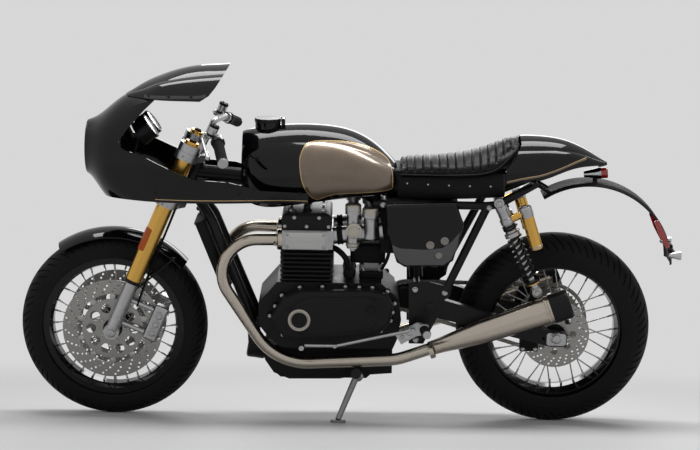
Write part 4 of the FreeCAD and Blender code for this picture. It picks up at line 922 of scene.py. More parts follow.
def spoke_ends(flange_radius):
    """Rim end and way in of each spoke; a lacing row is its side, slant, and shifts at hub and rim."""
    for side, way, hub_y, rim_y in LACING:
        phase = (0.25 if side > 0 else 0) + (0.5 if way > 0 else 0)
        swing = way * math.radians(SLANT) / (2 * math.pi) * QUARTER
        for hub, rim in zip(circle(flange_radius - 4, QUARTER, phase=phase + swing),
                            circle(NIPPLE_RADIUS, QUARTER, phase=phase)):
            start = Vector((hub[0], side * FLANGE_OFFSET + hub_y, hub[1]))
            end = Vector((rim[0], side * rim_y, rim[1]))
            yield end, (start - end).normalized()


for name, flange in (("front", 44), ("rear", 52)):
    nipple = lathe([(0, -2), (3.8, -2), (3.8, 4), (3.0, 6), (3.0, 15), (2.3, 17), (2.3, 17.5)], 10)
    nipples = copies(nipple, [facing(end + way * 3, way) for end, way in spoke_ends(flange)])
    valve = rod((0, 0, -199), (0, 0, -176), 3.5, 2.6, 12)
    publish_wheel(name + "_nipples", joined(nipples, valve), bolt_steel, name)
carrier_bolts = copies(cap_screw(5), on_side(-FRONT_DISC_Y - 2, circle(40, 5)))
publish_wheel("front_disc_bolts", both_sides(carrier_bolts), bolt_steel, "front")
rear_bolts = copies(cap_screw(5), on_side(-REAR_DISC_Y - HALF_DISC, circle(41, 5)))
publish_wheel("rear_disc_bolts", rear_bolts, bolt_steel, "rear")
print("nipples and bolts done")

# %% [markdown]
# The chain is one repeated pair of links.  An array bent along a curve would bend the links too,
# and real ones stay stiff.  So its pitch line is worked out, round both sprockets and along two
# tangents, and each link is set on it at an equal step.

# %% The chain's line
PITCH, CHAIN_Y, SMALL, LARGE = 15.875, 96, 47.5, 115.5
FRONT_SPROCKET = Vector((230, 0, 385))


def rim_point(middle, radius, angle):
    """A place on a sprocket's pitch circle, and the chain's way there."""
    return (middle + radius * Vector((math.cos(angle), 0, math.sin(angle))),
            Vector((math.sin(angle), 0, -math.cos(angle))))


def chain_line(front, rear, small, large):
    """Places at equal steps along the loop round two wheels."""
    reach, base = (rear - front).length, math.atan2(rear.z - front.z, rear.x - front.x)
    lift = math.asin((large - small) / reach)
    straight = math.sqrt(reach ** 2 - (large - small) ** 2)
    upper, lower = base + math.pi / 2 + lift, base - math.pi / 2 - lift
    round_large, round_small = large * (math.pi + 2 * lift), small * (math.pi - 2 * lift)
    total = 2 * straight + round_large + round_small
    count = 2 * round(total / PITCH / 2)
    for index in range(count):
        run = total * index / count
        if run < straight:
            start, way = rim_point(front, small, upper)
            yield start + way * run
        elif run < straight + round_large:
            yield rim_point(rear, large, upper - (run - straight) / large)[0]
        elif run < 2 * straight + round_large:
            start, way = rim_point(rear, large, lower)
            yield start + way * (run - straight - round_large)
        else:
            yield rim_point(front, small, lower - (run - 2 * straight - round_large) / small)[0]


steps = list(chain_line(FRONT_SPROCKET, REAR_AXLE, SMALL, LARGE))
print("chain of %d links" % len(steps))

# %% Chain links
LINK_RADIUS = 6.4
half_round = [math.radians(-110 + 220 * index / 8) for index in range(9)]
side_plate = [(middle + LINK_RADIUS * math.cos(turn + flip), LINK_RADIUS * math.sin(turn + flip))
              for middle, flip in ((-PITCH / 2, math.pi), (PITCH / 2, 0)) for turn in half_round]
inner = joined(plate([side_plate], 2.3, 3.0), plate([side_plate], -3.0, -2.3))
outer = joined(plate([side_plate], 3.2, 3.9), plate([side_plate], -3.9, -3.2))
roller = lathe([(0, -2.3), (4.6, -2.3), (4.6, 2.3), (0, 2.3)], 12)
links, pins = [], []
for index, place in enumerate(steps):
    following = steps[(index + 1) % len(steps)]
    along = (following - place).normalized()
    aim = Matrix((along, ALONG_Y.cross(along) * -1, ALONG_Y)).transposed().to_4x4()
    links.append(Matrix.Translation((place + following) / 2 + ALONG_Y * CHAIN_Y) @ aim)
    pins.append(Matrix.Translation(place + ALONG_Y * CHAIN_Y) @ aim)
publish("chain_links", joined(copies(inner, links[0::2]), copies(outer, links[1::2]), copies(roller, pins)),
        chain_steel, 30, replaces=["drive_chain"])
print("links done")

# %% [markdown]
# The rear sprocket is a toothed plate on the hub.  One tooth is seven corners, each a share of
# the turn from tooth to tooth and a radius, and a loop repeats them all the way round.

# %% Rear sprocket
TEETH, HALF_SPROCKET = 42, 3.6
TOOTH = ((0.0, 101), (0.18, 101.8), (0.36, 106.2), (0.46, 107.6), (0.54, 107.6), (0.64, 106.2),
         (0.82, 101.8))
outline = []
for tooth in range(TEETH):
    for share, radius in TOOTH:
        turn = 2 * math.pi * (tooth + share) / TEETH
        outline.append((radius * math.cos(turn), radius * math.sin(turn)))
sprocket = plate([outline, circle(41, 48)] + [circle(13, 20, middle) for middle in circle(76, 8)],
                 -HALF_SPROCKET, HALF_SPROCKET, 0.5)
sprocket = moved(sprocket, facing((0, CHAIN_Y, 0), ALONG_Y))
publish_wheel("rear_sprocket_teeth", sprocket, chain_steel, "rear", 30, replaces=["rear_sprocket"])
nuts = copies(lathe([(0, 1.2), (6, 1.2), (7, 0.4), (7, -1)], 6),
              on_side(CHAIN_Y + HALF_SPROCKET, circle(52, 6), ALONG_Y))
publish_wheel("rear_sprocket_nuts", nuts, bolt_steel, "rear")
print("sprocket done")

# %% [markdown]
# The seat is soft.  A copy of its solid is remeshed into even small faces, shrunk a little, and
# blown up again as cloth, so it crowns between its edges.  The swelling is capped, because a real
# pad is held by its cover.  These sizes are in metres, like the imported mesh.

# %% Blowing up a shell
SWELL, PRESSURE, CLOTH_STEPS = 0.005, 4, 20


def applied(thing):
    """A mesh with the object's modifiers worked in; the object is left without them."""
    done = bpy.data.meshes.new_from_object(thing.evaluated_get(bpy.context.evaluated_depsgraph_get()))
    thing.modifiers.clear()
    return done


def blow_up(pad, starts):
    """Move each point of the pad from its start to where cloth under pressure takes it, within the cap."""
    cloth = pad.modifiers.new("cloth", "CLOTH")
    cloth.settings.use_pressure = True
    cloth.settings.uniform_pressure_force = PRESSURE
    cloth.settings.effector_weights.gravity = 0
    cloth.point_cache.frame_start, cloth.point_cache.frame_end = 1, CLOTH_STEPS
    for step in range(1, CLOTH_STEPS + 1):
        bpy.context.scene.frame_set(step)
    puffed = applied(pad)
    bpy.context.scene.frame_set(1)
    for vert, soft, start in zip(pad.data.vertices, puffed.vertices, starts):
        move = soft.co - start
        vert.co = start + move * min(1.0, SWELL / max(move.length, 1e-6))


print("cloth ready, cap", SWELL)

# %% The pad
VOXEL, WELD, SHRINK = 0.005, 0.0002, 0.0035


def swollen(source):
    """A puffed copy of a solid, as a mesh."""
    pad = bpy.data.objects.new("pad", source.data.copy())
    bpy.context.scene.collection.objects.link(pad)
    pad.modifiers.new("weld", "WELD").merge_threshold = WELD
    remesh = pad.modifiers.new("remesh", "REMESH")
    remesh.mode, remesh.voxel_size = "VOXEL", VOXEL
    settled = applied(pad)
    pad.data = settled
    starts = [vert.co - vert.normal * SHRINK for vert in settled.vertices]
    for vert, start in zip(settled.vertices, starts):
        vert.co = start
    blow_up(pad, starts)
    refine = pad.modifiers.new("refine", "SUBSURF")
    refine.levels = refine.render_levels = 1
    fine = applied(pad)
    bpy.data.objects.remove(pad)
    return fine


cushion = bmesh.new()
cushion.from_mesh(swollen(frame["nodes"]["seat"]))
cushion.transform(TO_MACHINE)
cushion.normal_update()
print("pad of", len(cushion.faces), "faces")

# %% [markdown]
# The pleats are pressed in afterwards, since a voxel remesh would lose them.  Each runs across the
# seat, so its depth depends only on the distance along the saddle line, and it fades out towards
# the sides, the nose and the hump at the back.

# %% Where the pleats run
SADDLE = [(196, 858), (330, 870), (451, 893), (516, 918), (560, 941), (600, 962)]


def along_saddle(x):
    """Distance along the saddle line at a place along the machine."""
    run = 0.0
    for (x0, z0), (x1, z1) in zip(SADDLE, SADDLE[1:]):
        if x <= x1:
            return run + max(x - x0, 0) / (x1 - x0) * math.hypot(x1 - x0, z1 - z0)
        run += math.hypot(x1 - x0, z1 - z0)
    return run


def soften(value, low, high):
    share = min(max((value - low) / (high - low), 0), 1)
    return share * share * (3 - 2 * share)


print("saddle line of", along_saddle(SADDLE[-1][0]))

# %% Pleats
PLEAT, PLEAT_DEPTH, SEAM, CROWN, SEAT_TOP = 26.0, 6.0, 0.2, 0.25, 942.0
SEAT_HEM, KICK_UP, HEM_RISE = 818, 451, 0.8
moves = []
for vert in cushion.verts:
    seam = 1 - abs(along_saddle(vert.co.x) / PLEAT % 1.0 - 0.5) * 2
    shape = -math.exp(-(seam / SEAM) ** 2) + CROWN * seam
    hem = SEAT_HEM + max(vert.co.x - KICK_UP, 0) * HEM_RISE
    top = soften(vert.normal.z, 0.05, 0.3) * soften(vert.co.z, hem + 6, hem + 18)
    ends = soften(vert.co.x, 206, 216) * (1 - soften(vert.co.x, 552, 568))
    moves.append(vert.normal * (shape * PLEAT_DEPTH * top * ends))
for vert, move in zip(cushion.verts, moves):
    vert.co += move
    vert.co.z = min(vert.co.z, SEAT_TOP)
seat = publish("seat_cushion", cushion, seat_leather, 80, replaces=["seat"])
print("seat of %d faces" % len(seat.data.polygons))

# %% [markdown]
# A sewn cord runs along the seat's lower edge, and a row of round studs holds its cover to the
# pan.  Drawn freely in space they would float here and sink there, so their points are cast onto
# the solids that they lie on.

# %% Piping and studs
PIPING = [(204, 826), (260, 828), (330, 830), (400, 833), (451, 837), (495, 848), (530, 874), (556, 902)]
STUD_HEIGHT = 797
saddle_solid = surface_of("seat")
cords = [sweep([cast(saddle_solid, x, z, side, 0.6) for x, z in smooth(PIPING, 5)], 2.2, 8)
         for side in (-1, 1)]
publish("seat_piping", joined(*cords), seat_leather, 60)
studs = copies(lathe([(0, 1.8), (2.2, 1.5), (3.4, 0.3), (3.4, 0)], 14),
               [facing(cast(seat_pan, x, STUD_HEIGHT, side, 0), (0, side, 0))
                for x in (225, 290, 355, 420, 485) for side in (-1, 1)])
publish("seat_studs", studs, bolt_steel)
print("piping and studs done")

# %% [markdown]
# The engine's covers are held by a ring of screws, each in its own round boss.  A raised panel, a
# crease and a ring cap break up the flat face, as they do on a real casting.  Bosses that are
# pieces of their own stay round, and the same spots serve the screws.

# %% Screws round the engine cover
COVER = [(-161, 437), (-105, 463), (35, 466), (119, 466), (167, 455), (190, 417), (179, 361), (148, 328),
         (22, 310), (-103, 298), (-157, 310), (-198, 371)]
MORE_SCREWS = [(-35, 465), (78, 466), (-60, 304), (60, 316), (104, 322), (-182, 402), (184, 388)]
COVER_FACE, RIM_FACE, COVER_MIDDLE = 184, 126, Vector((0, 385))
rim_spots = [Vector(corner) + (Vector(corner) - COVER_MIDDLE).normalized() * 3
             for corner in COVER + MORE_SCREWS]
boss = lathe([(0, 14), (8, 14), (9, 12), (9.6, 0)], 20)
publish_pair("cover_bosses", copies(boss, on_side(-RIM_FACE, rim_spots)), engine_black)
publish_pair("cover_screws", copies(bolt(4.6), on_side(-RIM_FACE - 14, rim_spots)), bolt_steel)
print("cover screws:", len(rim_spots))

# %% Relief of the engine cover
CREASE = [(-150, 404), (-96, 421), (0, 437), (90, 447), (150, 440)]
PANEL_SHARE = 0.74


def shrunk(outline, share):
    middle = sum((Vector(corner) for corner in outline), Vector((0, 0))) / len(outline)
    return [tuple(middle + (Vector(corner) - middle) * share) for corner in outline]


panel = [tuple(point) for point in smooth(shrunk(COVER, PANEL_SHARE), 5, loop=True)]
publish_pair("cover_panels", sideways(plate([panel], -1, 3.2, 2.4), COVER_FACE), engine_black, 50)
crease = sweep([Vector((x, -COVER_FACE - 1.2, z)) for x, z in smooth(CREASE, 6)], 2.6, 8)
publish_pair("cover_creases", crease, engine_black, 60)
print("cover relief done")

# %% Caps of the engine cover
RING_SPOT, FILLER_SPOT = (-107, -COVER_FACE, 371), (120, -COVER_FACE - 1, 410)
ring = lathe([(25, 0), (35.5, 0), (35.5, 7), (34, 8.4), (29, 8.4), (27, 6), (25, 6)], 64, closed=True)
publish_pair("cover_rings", moved(ring, shift(0, 1, 0) @ facing(RING_SPOT)), cast_alloy)
dome = lathe([(25.4, 0), (25.4, 5.0), (21, 5.8), (20, 4.6), (12, 4.4), (11, 6.0), (0, 6.6)], 64)
publish_pair("cover_caps", moved(dome, facing(RING_SPOT)), engine_black)
filler = lathe([(0, 14), (11, 13), (12, 11.5), (12, 5), (15, 4), (15.5, 0)], 32)
slotted = block((18, 5, 5), (0, 0, 15), 1.2)
publish_pair("cover_fillers", joined(moved(filler, facing(FILLER_SPOT)),
                                     moved(slotted, facing(FILLER_SPOT, LEFT, 30))), engine_black)
print("cover caps done")

# %% [markdown]
# Under the engine the sump is ribbed against stones, and an oil filter points forward from it.
# The ribs are one thin plate, set upright and repeated across.  The filter is a turned can with
# small blocks round its rim, where a wrench would grip it.

# %% Sump and oil filter
RIBS, RIB_STEP, RIB_X, SUMP_FLOOR = 7, 22, -30, 160
rib = plate([[(-150, 0), (150, 0), (138, -11), (-138, -11)]], -1.6, 1.6, 0.6)
ribs = copies(rib, [Matrix(((1, 0, 0, RIB_X), (0, 0, 1, RIB_STEP * (index - RIBS // 2)),
                            (0, 1, 0, SUMP_FLOOR), (0, 0, 0, 1))) for index in range(RIBS)])
publish("sump_ribs", ribs, engine_black)
can = joined(lathe([(0, 62), (30, 62), (36, 58), (37, 52), (37, 8), (33, 0), (0, 0)], 40),
             copies(block((3, 4, 16), soft=0.8), [turn @ shift(36, 0, 50) for turn in around(14)]))
publish("oil_filter", moved(can, facing((-216, 0, 226), (-1, 0, 0.15))), engine_black)
sump_spots = [facing((x, y, SUMP_FLOOR - 10), (0, 0, -1)) for x, y in ((-20, 0), (0, 50), (0, -50))]
publish("sump_bolts", copies(bolt(6), sump_spots), bolt_steel)
print("sump done")

# %% [markdown]
# The head wears a silver plate on each side with three raised bars, and the cam cover a stepped
# ridge with plug caps between its bolts.  A patch of colour could stand for the plate, but its
# beveled rim is what catches the light.

# %% Head and cam cover
HEAD_PLATE = [(-156, 590), (-156, 637), (-150, 641), (-34, 641), (-28, 637), (-28, 590), (-34, 586),
              (-150, 586)]
CAM_RIDGE = [(-150, -96), (-150, 96), (-140, 104), (-38, 104), (-28, 96), (-28, -96), (-38, -104),
             (-140, -104)]
CAM_SPOTS = ((-158, 656), (-128, 684), (-89, 656), (-50, 684), (-20, 656))
bars = [block((98, 2.4, 4.4), (-92, -131.2, height), 1.0) for height in (603, 614, 625)]
publish_pair("head_plates", joined(sideways(plate([HEAD_PLATE], 0, 3.4, 1.6), 128), *bars), silver_plate)
head_spots = [(x, z) for x in (-149, -35) for z in (594, 633)]
publish_pair("head_screws", copies(cap_screw(4.6), on_side(-131, head_spots)), bolt_steel)
publish_pair("cam_screws", copies(bolt(4.6), on_side(-112, CAM_SPOTS)), bolt_steel)
plugs = copies(lathe([(0, 22), (9, 21), (11, 18), (11, 8), (14, 6), (14.5, 0)], 24),
               [shift(-89, y, 696) for y in (-62, 62)])
publish("cam_cover_top", joined(plate([CAM_RIDGE], 693, 697.5, 2.0), plugs), engine_black, 50)
ridge_bolts = [shift(x, y, 696.5) for x in (-140, -38) for y in (-84, 0, 84)]
publish("cam_cover_bolts", copies(bolt(5), ridge_bolts), bolt_steel)
print("head done")

# %% [markdown]
# Upright silver columns dress the throttle bodies on each side.  A column has a cap, a foot and a
# round lid on its face, and rubber boots join it in front and behind.  Caps, foot and lid are all
# turned, so one table of places and outlines makes them.

# %% Throttle columns
COLUMN_X, COLUMN_Y, LID_X, LID_HEIGHT = 57, -112, 60, 650
turned_parts = (
    (shift(COLUMN_X, COLUMN_Y, 726), 40,
     [(0, 6), (22, 6), (25.4, 3), (25.4, -3), (22, -4), (22, -8), (25.4, -9), (25.4, -15), (19.6, -20)]),
    (facing((LID_X, -139.8, LID_HEIGHT)), 48, [(25, 0), (25, 3), (22, 5), (17, 5), (16, 3.5), (0, 3.2)]),
    (shift(COLUMN_X, COLUMN_Y, 596), 36,
     [(19.6, 12), (22, 10), (22, 2), (16, -4), (9, -8), (9, -14), (0, -15)]),
    (shift(112, -108, 714), 40,
     [(20.6, -28), (22.5, -26), (22.5, -18), (26.6, -14), (26.6, 2), (24, 5), (0, 6)]))
columns = [moved(lathe(outline, count), place) for place, count, outline in turned_parts]
publish_pair("throttle_caps", joined(*columns), cast_alloy)
lid_spots = [(LID_X + x, LID_HEIGHT + z) for x, z in circle(20, 3, phase=0.25)]
publish_pair("throttle_screws", copies(cap_screw(2.8), on_side(-143, lid_spots)), bolt_steel)
boot = lathe([(28.5, -9), (30, -8), (30, -4), (28, -2), (28, 2), (30, 4), (30, 8), (28.5, 9)], 40,
             closed=True)
boots = copies(boot, [facing(place, (1, 0, 0.115)) for place in ((16, -84, 624), (132, -84, 638))])
publish_pair("throttle_boots", boots, grip_rubber)
link_rods = joined(rod((57, -136, 610), (57, 136, 610), 3), rod((88, -128, 668), (88, 128, 668), 4))
publish("throttle_links", link_rods, bolt_steel)
print("throttles done")

# %% [markdown]
# Each silencer ends in a black sleeve, and a narrow clamp holds it to its pipe.  A black disc
# could close its mouth, but light falls a little way into a real one, so the sleeve's outline
# turns in at the lip and runs back to a baffle.  All of it stands on the silencer's own line.

# %% Silencers
SILENCER_START, SILENCER_END = Vector((306, -190, 279)), Vector((741, -190, 443))
end = (SILENCER_END - SILENCER_START).length
silencer = facing(SILENCER_START, SILENCER_END - SILENCER_START)
sleeve = lathe([(45.7, end - 62), (46.8, end - 60), (46.8, end - 6), (43, end + 0.5), (33, end + 0.5),
                (30.6, end - 2), (30.2, end - 48), (14, end - 50), (13, end - 66)], 56)
ring = lathe([(46.2, end - 78), (47.2, end - 77), (47.2, end - 71), (46.2, end - 70)], 56, closed=True)
clamp = lathe([(22.5, -4), (25.6, -3), (25.6, 11), (24.4, 12), (22.6, 12)], 36)
clamps = joined(clamp, block((10, 8, 15), (28, 0, 4), 1.2))
publish_pair("silencer_sleeves", moved(sleeve, silencer), satin_black, 30)
publish_pair("silencer_rings", moved(ring, silencer), exhaust_steel, 30)
publish_pair("silencer_clamps", moved(clamps, silencer), exhaust_steel, 30)
print("silencers done")

# %% Header collars
HEADER_WAY, PORT_HEIGHT = (-1, -0.12, 0), 609
collar = lathe([(20, 0), (30, 0), (32, 2), (32, 8), (28, 10), (20, 10)], 40, closed=True)
publish_pair("header_collars", moved(collar, facing((-174, -93, PORT_HEIGHT), HEADER_WAY)), exhaust_steel, 30)
header_nuts = copies(bolt(5), [facing((-185, -94 + y, PORT_HEIGHT + z), HEADER_WAY)
                               for y, z in ((25, 10), (-25, -10))])
publish_pair("header_nuts", header_nuts, bolt_steel)
print("header collars done")

# %% [markdown]
# The fork carries small parts at fixed heights along its legs: wiper rings where the legs enter
# the tubes, caps with adjusters on top, and screws at the axle and the yokes.  They are drawn on
# the upright fork, whose z runs from the axle up the legs, and the fork's rake is put on last.

# %% Fork fittings
FORK_Y, LOWER_YOKE, UPPER_YOKE, FORK_TOP = 103, 462.0, 622.0, 662.0
top_place = shift(0, -FORK_Y, FORK_TOP)
wiper = lathe([(22, -5), (26, -4), (27.4, 0), (27.4, 8), (22, 9)], 40, closed=True)
publish_on_fork("fork_wipers", moved(wiper, shift(0, -FORK_Y, 178)), satin_black)
cap = lathe([(27.3, -14), (27.3, -1.5), (25.8, 0.4), (22.4, 0.4), (22.4, 6.8), (20.8, 8.4), (12, 8.4)], 56)
publish_on_fork("fork_caps", moved(cap, top_place), fork_gold, 30)
adjusters = joined(lathe([(12.4, 8), (12.4, 11), (11.4, 12), (6.4, 12)], 6),
                   lathe([(9.3, 11.9), (9.3, 13.4), (8.5, 14.3), (0, 14.3)], 32))
publish_on_fork("fork_adjusters", moved(adjusters, top_place), moulded_black)
print("fork fittings done")

# %% [markdown]
# An amber reflector wraps round the side of each tube.  A box would stand off the round tube, so
# it is a small grid bent round the tube, narrower at its ends, and extruded inwards onto it.

# %% Fork reflectors
OUTER, INNER, FACING_TURN, MIDDLE_HEIGHT = 29.0, 27.1, 42, 326
rows = []
for height, half_turn in ((-38, 24), (-35, 31), (0, 33), (35, 31), (38, 24)):
    turns = [math.radians(FACING_TURN + half_turn * (index / 6 - 1)) for index in range(13)]
    rows.append([Vector((-OUTER * math.cos(turn), -FORK_Y - OUTER * math.sin(turn), MIDDLE_HEIGHT + height))
                 for turn in turns])
reflector = quads(rows, -1)
for item in bmesh.ops.extrude_face_region(reflector, geom=reflector.faces[:])["geom"]:
    if isinstance(item, bmesh.types.BMVert):
        middle = Vector((0, -FORK_Y, item.co.z))
        item.co = middle + (item.co - middle).normalized() * INNER
bmesh.ops.recalc_face_normals(reflector, faces=reflector.faces)
publish_on_fork("fork_reflectors", reflector, amber_lens, 40)
print("reflectors done")

# %% [markdown]
# Pinch screws close the yokes on the tubes, the axle ends in a large bolt, and a nut closes the
# steering stem.  Screws and bolt are copies of the two fasteners and only need their places on
# the upright fork.  The nut is turned.

# %% Fork screws and stem nut
STEM_BACK = 31.5
axle_end = moved(bolt(13), facing((0, -FORK_Y - 14.5, 0)))
yoke_screws = copies(cap_screw(4.2), [facing((-10, -FORK_Y - 36, height), (-0.4, -1, 0))
                                      for height in (LOWER_YOKE - 7, LOWER_YOKE + 7, UPPER_YOKE)])
publish_on_fork("fork_screws", joined(axle_end, yoke_screws), bolt_steel)
stem_nut = joined(lathe([(0, 12), (13, 11), (16, 8), (16, 0)], 36),
                  lathe([(19, 0), (19, 3), (16, 4), (0, 4)], 36))
stem_nut = on_fork(moved(stem_nut, shift(STEM_BACK, 0, UPPER_YOKE + 13)))
publish("stem_nut", stem_nut, bolt_steel, body="steering")
print("fork screws done")

# %% [markdown]
# The front calipers hang behind the legs, one over each disc.  Their castings come from the
# construction; what is added is what holds them together, the caps over their pistons and the
# bridge with its through bolts.

# %% Front calipers
CALIPER_X, CALIPER_HEIGHT, CALIPER_Y = 120, 74, FRONT_DISC_Y
piston_cap = lathe([(0, 3), (8, 3), (9, 1), (12.4, 0), (12.4, -3)], 28)
piston_places = [facing((CALIPER_X, -CALIPER_Y - 26, CALIPER_HEIGHT + up)) for up in (-30, 0, 30)]
publish_on_fork("caliper_caps", copies(piston_cap, piston_places), bolt_steel)
bridge = joined(block((14, 40, 26), (CALIPER_X + 1, -CALIPER_Y, CALIPER_HEIGHT), 3),
                rod((136, -CALIPER_Y, 22), (148, -CALIPER_Y, 20), 5),
                copies(cap_screw(4.6), [facing((142, -CALIPER_Y + y, z), (1, 0, 0))
                                        for y in (-14, 14) for z in (30, 118)]))
publish_on_fork("caliper_bridges", bridge, cast_alloy)
print("calipers done")

# %% [markdown]
# The clip-on bars sweep back and down from an elbow over each yoke.  Everything on a bar is
# placed by its distance from the bar's end: the ribbed grip, the end weight, the switch pod and
# the lever.  All of it follows if the bar is moved.

# %% Grips and end weights
BAR_REACH, GRIP_LENGTH, RIDGES, RIDGE_STEP = 372, 131, 24, 4.9
elbow = Vector((60, -FORK_Y - 87, FORK_TOP + 70))
bar_end = elbow + Vector((48, -182, -32)) / 182 * (BAR_REACH - FORK_Y - 87)
bar = (bar_end - elbow).normalized()
ridges = [(11.3, 0), (19.5, 0), (19.5, 2.4), (11.3, 2)]
for z in (4 + index * RIDGE_STEP for index in range(RIDGES)):
    ridges += [(16.8, z), (16.8, z + 2.6), (15.6, z + 3.1), (15.6, z + 4.4)]
grip = lathe(ridges + [(17.0, 123), (17.0, 130), (12, GRIP_LENGTH)], 32)
grip_place = facing(bar_end - bar * GRIP_LENGTH, bar)
publish_on_fork("ribbed_grips", moved(grip, grip_place), grip_rubber, 50, replaces=["grips"])
weight = lathe([(10, 131), (15.5, 132), (16, 134), (16, 138), (14, 139), (0, 139)], 32)
publish_on_fork("bar_weights", moved(weight, grip_place), bare_alloy)
print("grips done")

# %% Switches, reservoirs and levers
POD_BACK, RESERVOIR_BACK, PIVOT_BACK, TIP_BACK = 143, 162, 160, 4


def along_bar(back, aside):
    """A place so far back from the bar's end and so far aside from the bar."""
    return bar_end - bar * back + Vector(aside)


pod_place = facing(along_bar(POD_BACK, (0, 0, 0)), bar) @ turned(90, "Y")
pod = moved(block((30, 26, 40), soft=5, segments=3), pod_place)
push_buttons = copies(lathe([(0, 3), (4, 3), (4.6, 2), (4.6, 0)], 16),
                      [facing(along_bar(POD_BACK + more, (13, 0, 12)), (0.9, 0, 0.45)) for more in (-8, 6)])
publish_on_fork("switch_pods", joined(pod, push_buttons), moulded_black)
reservoir = joined(lathe([(0, 33), (13.5, 33), (15.6, 31.5), (15.6, 25), (15.0, 24)], 32),
                   lathe([(15.0, 3), (15.6, 2), (15.6, -2), (12, -3.5), (0, -4)], 32),
                   copies(cap_screw(2), [shift(x, y, 33) for x, y in circle(10, 3)]))
reservoir = moved(reservoir, Matrix.Translation(along_bar(RESERVOIR_BACK, (-24, 0, 8))))
publish_on_fork("reservoir_caps", reservoir, moulded_black)
pivots = lathe([(0, 9), (6, 9), (7, 8), (7, -8), (6, -9), (0, -9)], 24)
tips = bmesh.new()
bmesh.ops.create_uvsphere(tips, u_segments=20, v_segments=12, radius=7.5)
lever_ends = joined(moved(pivots, Matrix.Translation(along_bar(PIVOT_BACK, (-38, 0, 0)))),
                    moved(tips, Matrix.Translation(along_bar(TIP_BACK, (-46, 0, -6)))))
publish_on_fork("lever_ends", lever_ends, bare_alloy)
print("controls done")

# %% [markdown]
# Two clocks stand side by side behind the screen.  Each is a turned bezel, a flat dial, raised
# marks set round it, a needle and a thin domed glass.  They are drawn lying flat, where every
# number is simple, and are tipped back together.

# %% Clocks
CLOCK_GAP, CLOCK_WAY, CLOCK_DEPTH = 90, Vector((0.8, 0, 0.6)), 46
clock = facing(Vector((-622, -45, 930)) + CLOCK_WAY * CLOCK_DEPTH, CLOCK_WAY)


def publish_clocks(name, mesh, material, crease=35):
    publish(name, copies(moved(mesh, clock), [shift(0, 0, 0), shift(0, CLOCK_GAP, 0)]), material, crease)


bezel = lathe([(36, -2), (36, 2.6), (39, 3.6), (41, 2.2), (41.2, -6), (40.2, -8), (40.2, -2)], 64,
              closed=True)
publish_clocks("clock_bezels", bezel, satin_black, 30)
dial = lathe([(36.5, 0.3), (0, 0.3)], 64)
if dial.faces[0].normal.z < 0:
    bmesh.ops.reverse_faces(dial, faces=dial.faces)
publish_clocks("clock_dials", dial, dial_black)
long_marks = copies(block((5, 1.1, 0.5), (31, 0, 0.6), 0.1, 1), map(turned, range(-40, 221, 20)))
short_marks = copies(block((2.6, 0.7, 0.5), (32.4, 0, 0.6), 0.1, 1), map(turned, range(-30, 221, 20)))
publish_clocks("clock_ticks", joined(long_marks, short_marks), dial_white)
needle = joined(block((30, 1.4, 0.7), (11, 0, 1.4), 0.2, 1), lathe([(0, 2.4), (3.5, 2.2), (4, 0.6)], 20))
publish_clocks("clock_needles", moved(needle, turned(215)), amber_lens)
publish_clocks("clock_glasses", lathe([(36.2, 2.0), (30, 2.5), (0, 2.9)], 48), lamp_glass, 60)
print("clocks done")

# %% [markdown]
# The headlamp is a shell, a bright bowl, a bulb under a shield on three arms, and a thin domed
# glass.  A bright flat face would look like a plate.  What makes it look like a lamp is the depth
# behind clear glass, so each layer is turned on its own.

# %% Headlamp
lamp = facing((-752, 0, 882), (-1, 0, 0))
lamp_shell = lathe([(83.4, 0), (83.4, 36), (81, 38), (79, 37), (79, 4), (45, -62), (0, -62)], 72)
bowl = lathe([(78.6, 30), (70, 16), (55, 2), (36, -8), (14, -12), (0, -12)], 72)
bmesh.ops.reverse_faces(bowl, faces=bowl.faces)
bulb = joined(lathe([(0, 20), (9, 19), (12, 15), (12, 6), (9, 4), (9, -12)], 32),
              rod((0, 0, -12), (0, 0, 6), 5),
              copies(block((66, 3, 2), (40, 0, 12), 0.5), map(turned, (90, 210, 330))))
rim = lathe([(78, 31), (83.6, 30), (84.6, 33), (84.0, 37), (80, 38.5), (77, 36)], 72, closed=True)
lens = lathe([(77.5, 33), (70, 35), (50, 36.6), (25, 37.5), (0, 37.8), (0, 35.6), (25, 35.3), (50, 34.4),
              (70, 32.8), (77.5, 30.8)], 72)
publish("headlamp_shell", moved(lamp_shell, lamp), satin_black, 40)
publish("headlamp_bowl", moved(bowl, lamp), bare_alloy, 60)
publish("headlamp_bulb", moved(bulb, lamp), chrome)
publish("headlamp_rim", moved(rim, lamp), satin_black, 40)
publish("headlamp_lens", moved(lens, lamp), lamp_glass, 60, replaces=["headlight"])
print("headlamp done")

# %% [markdown]
# Screws and a folded lip show how the screen is held to the fairing.  Their places are cast onto
# the bodywork, so that none floats off its curved skin.  The tail lamp is a chrome cone with a
# rim round its lens.

# %% Fairing and tail lamp trim
LIP = [(-600, 1059), (-520, 1063), (-430, 1066), (-404, 1072)]
publish_pair("screen_lips", stripe(screen, LIP, -1, 9, 1.0), recess_grey)
screen_places = [facing(cast(screen, x, z, -1, 1.2), (0.0, -1, 0.25))
                 for x, z in ((-585, 1062), (-520, 1064), (-450, 1066))]
publish_pair("screen_screws", copies(cap_screw(3.6), screen_places), satin_black)
button_head = lathe([(0, 2.2), (4.5, 2), (6, 0.6), (6, 0)], 20)
fairing_places = [facing(cast(shell, x, 770, -1, 0.2)) for x in (-560, -300, -110)]
publish_pair("fairing_screws", copies(button_head, fairing_places), satin_black)
cone = lathe([(9, 0), (10, 2), (17.6, 44), (18.4, 46), (18.4, 49), (17.6, 50)], 40)
publish("tail_lamp_body", moved(cone, facing((789, 0, 818), (50, 0, 4))), chrome, 30)
lens_rim = lathe([(17.2, 0), (18.8, 0.6), (18.8, 3.4), (17.2, 4)], 40, closed=True)
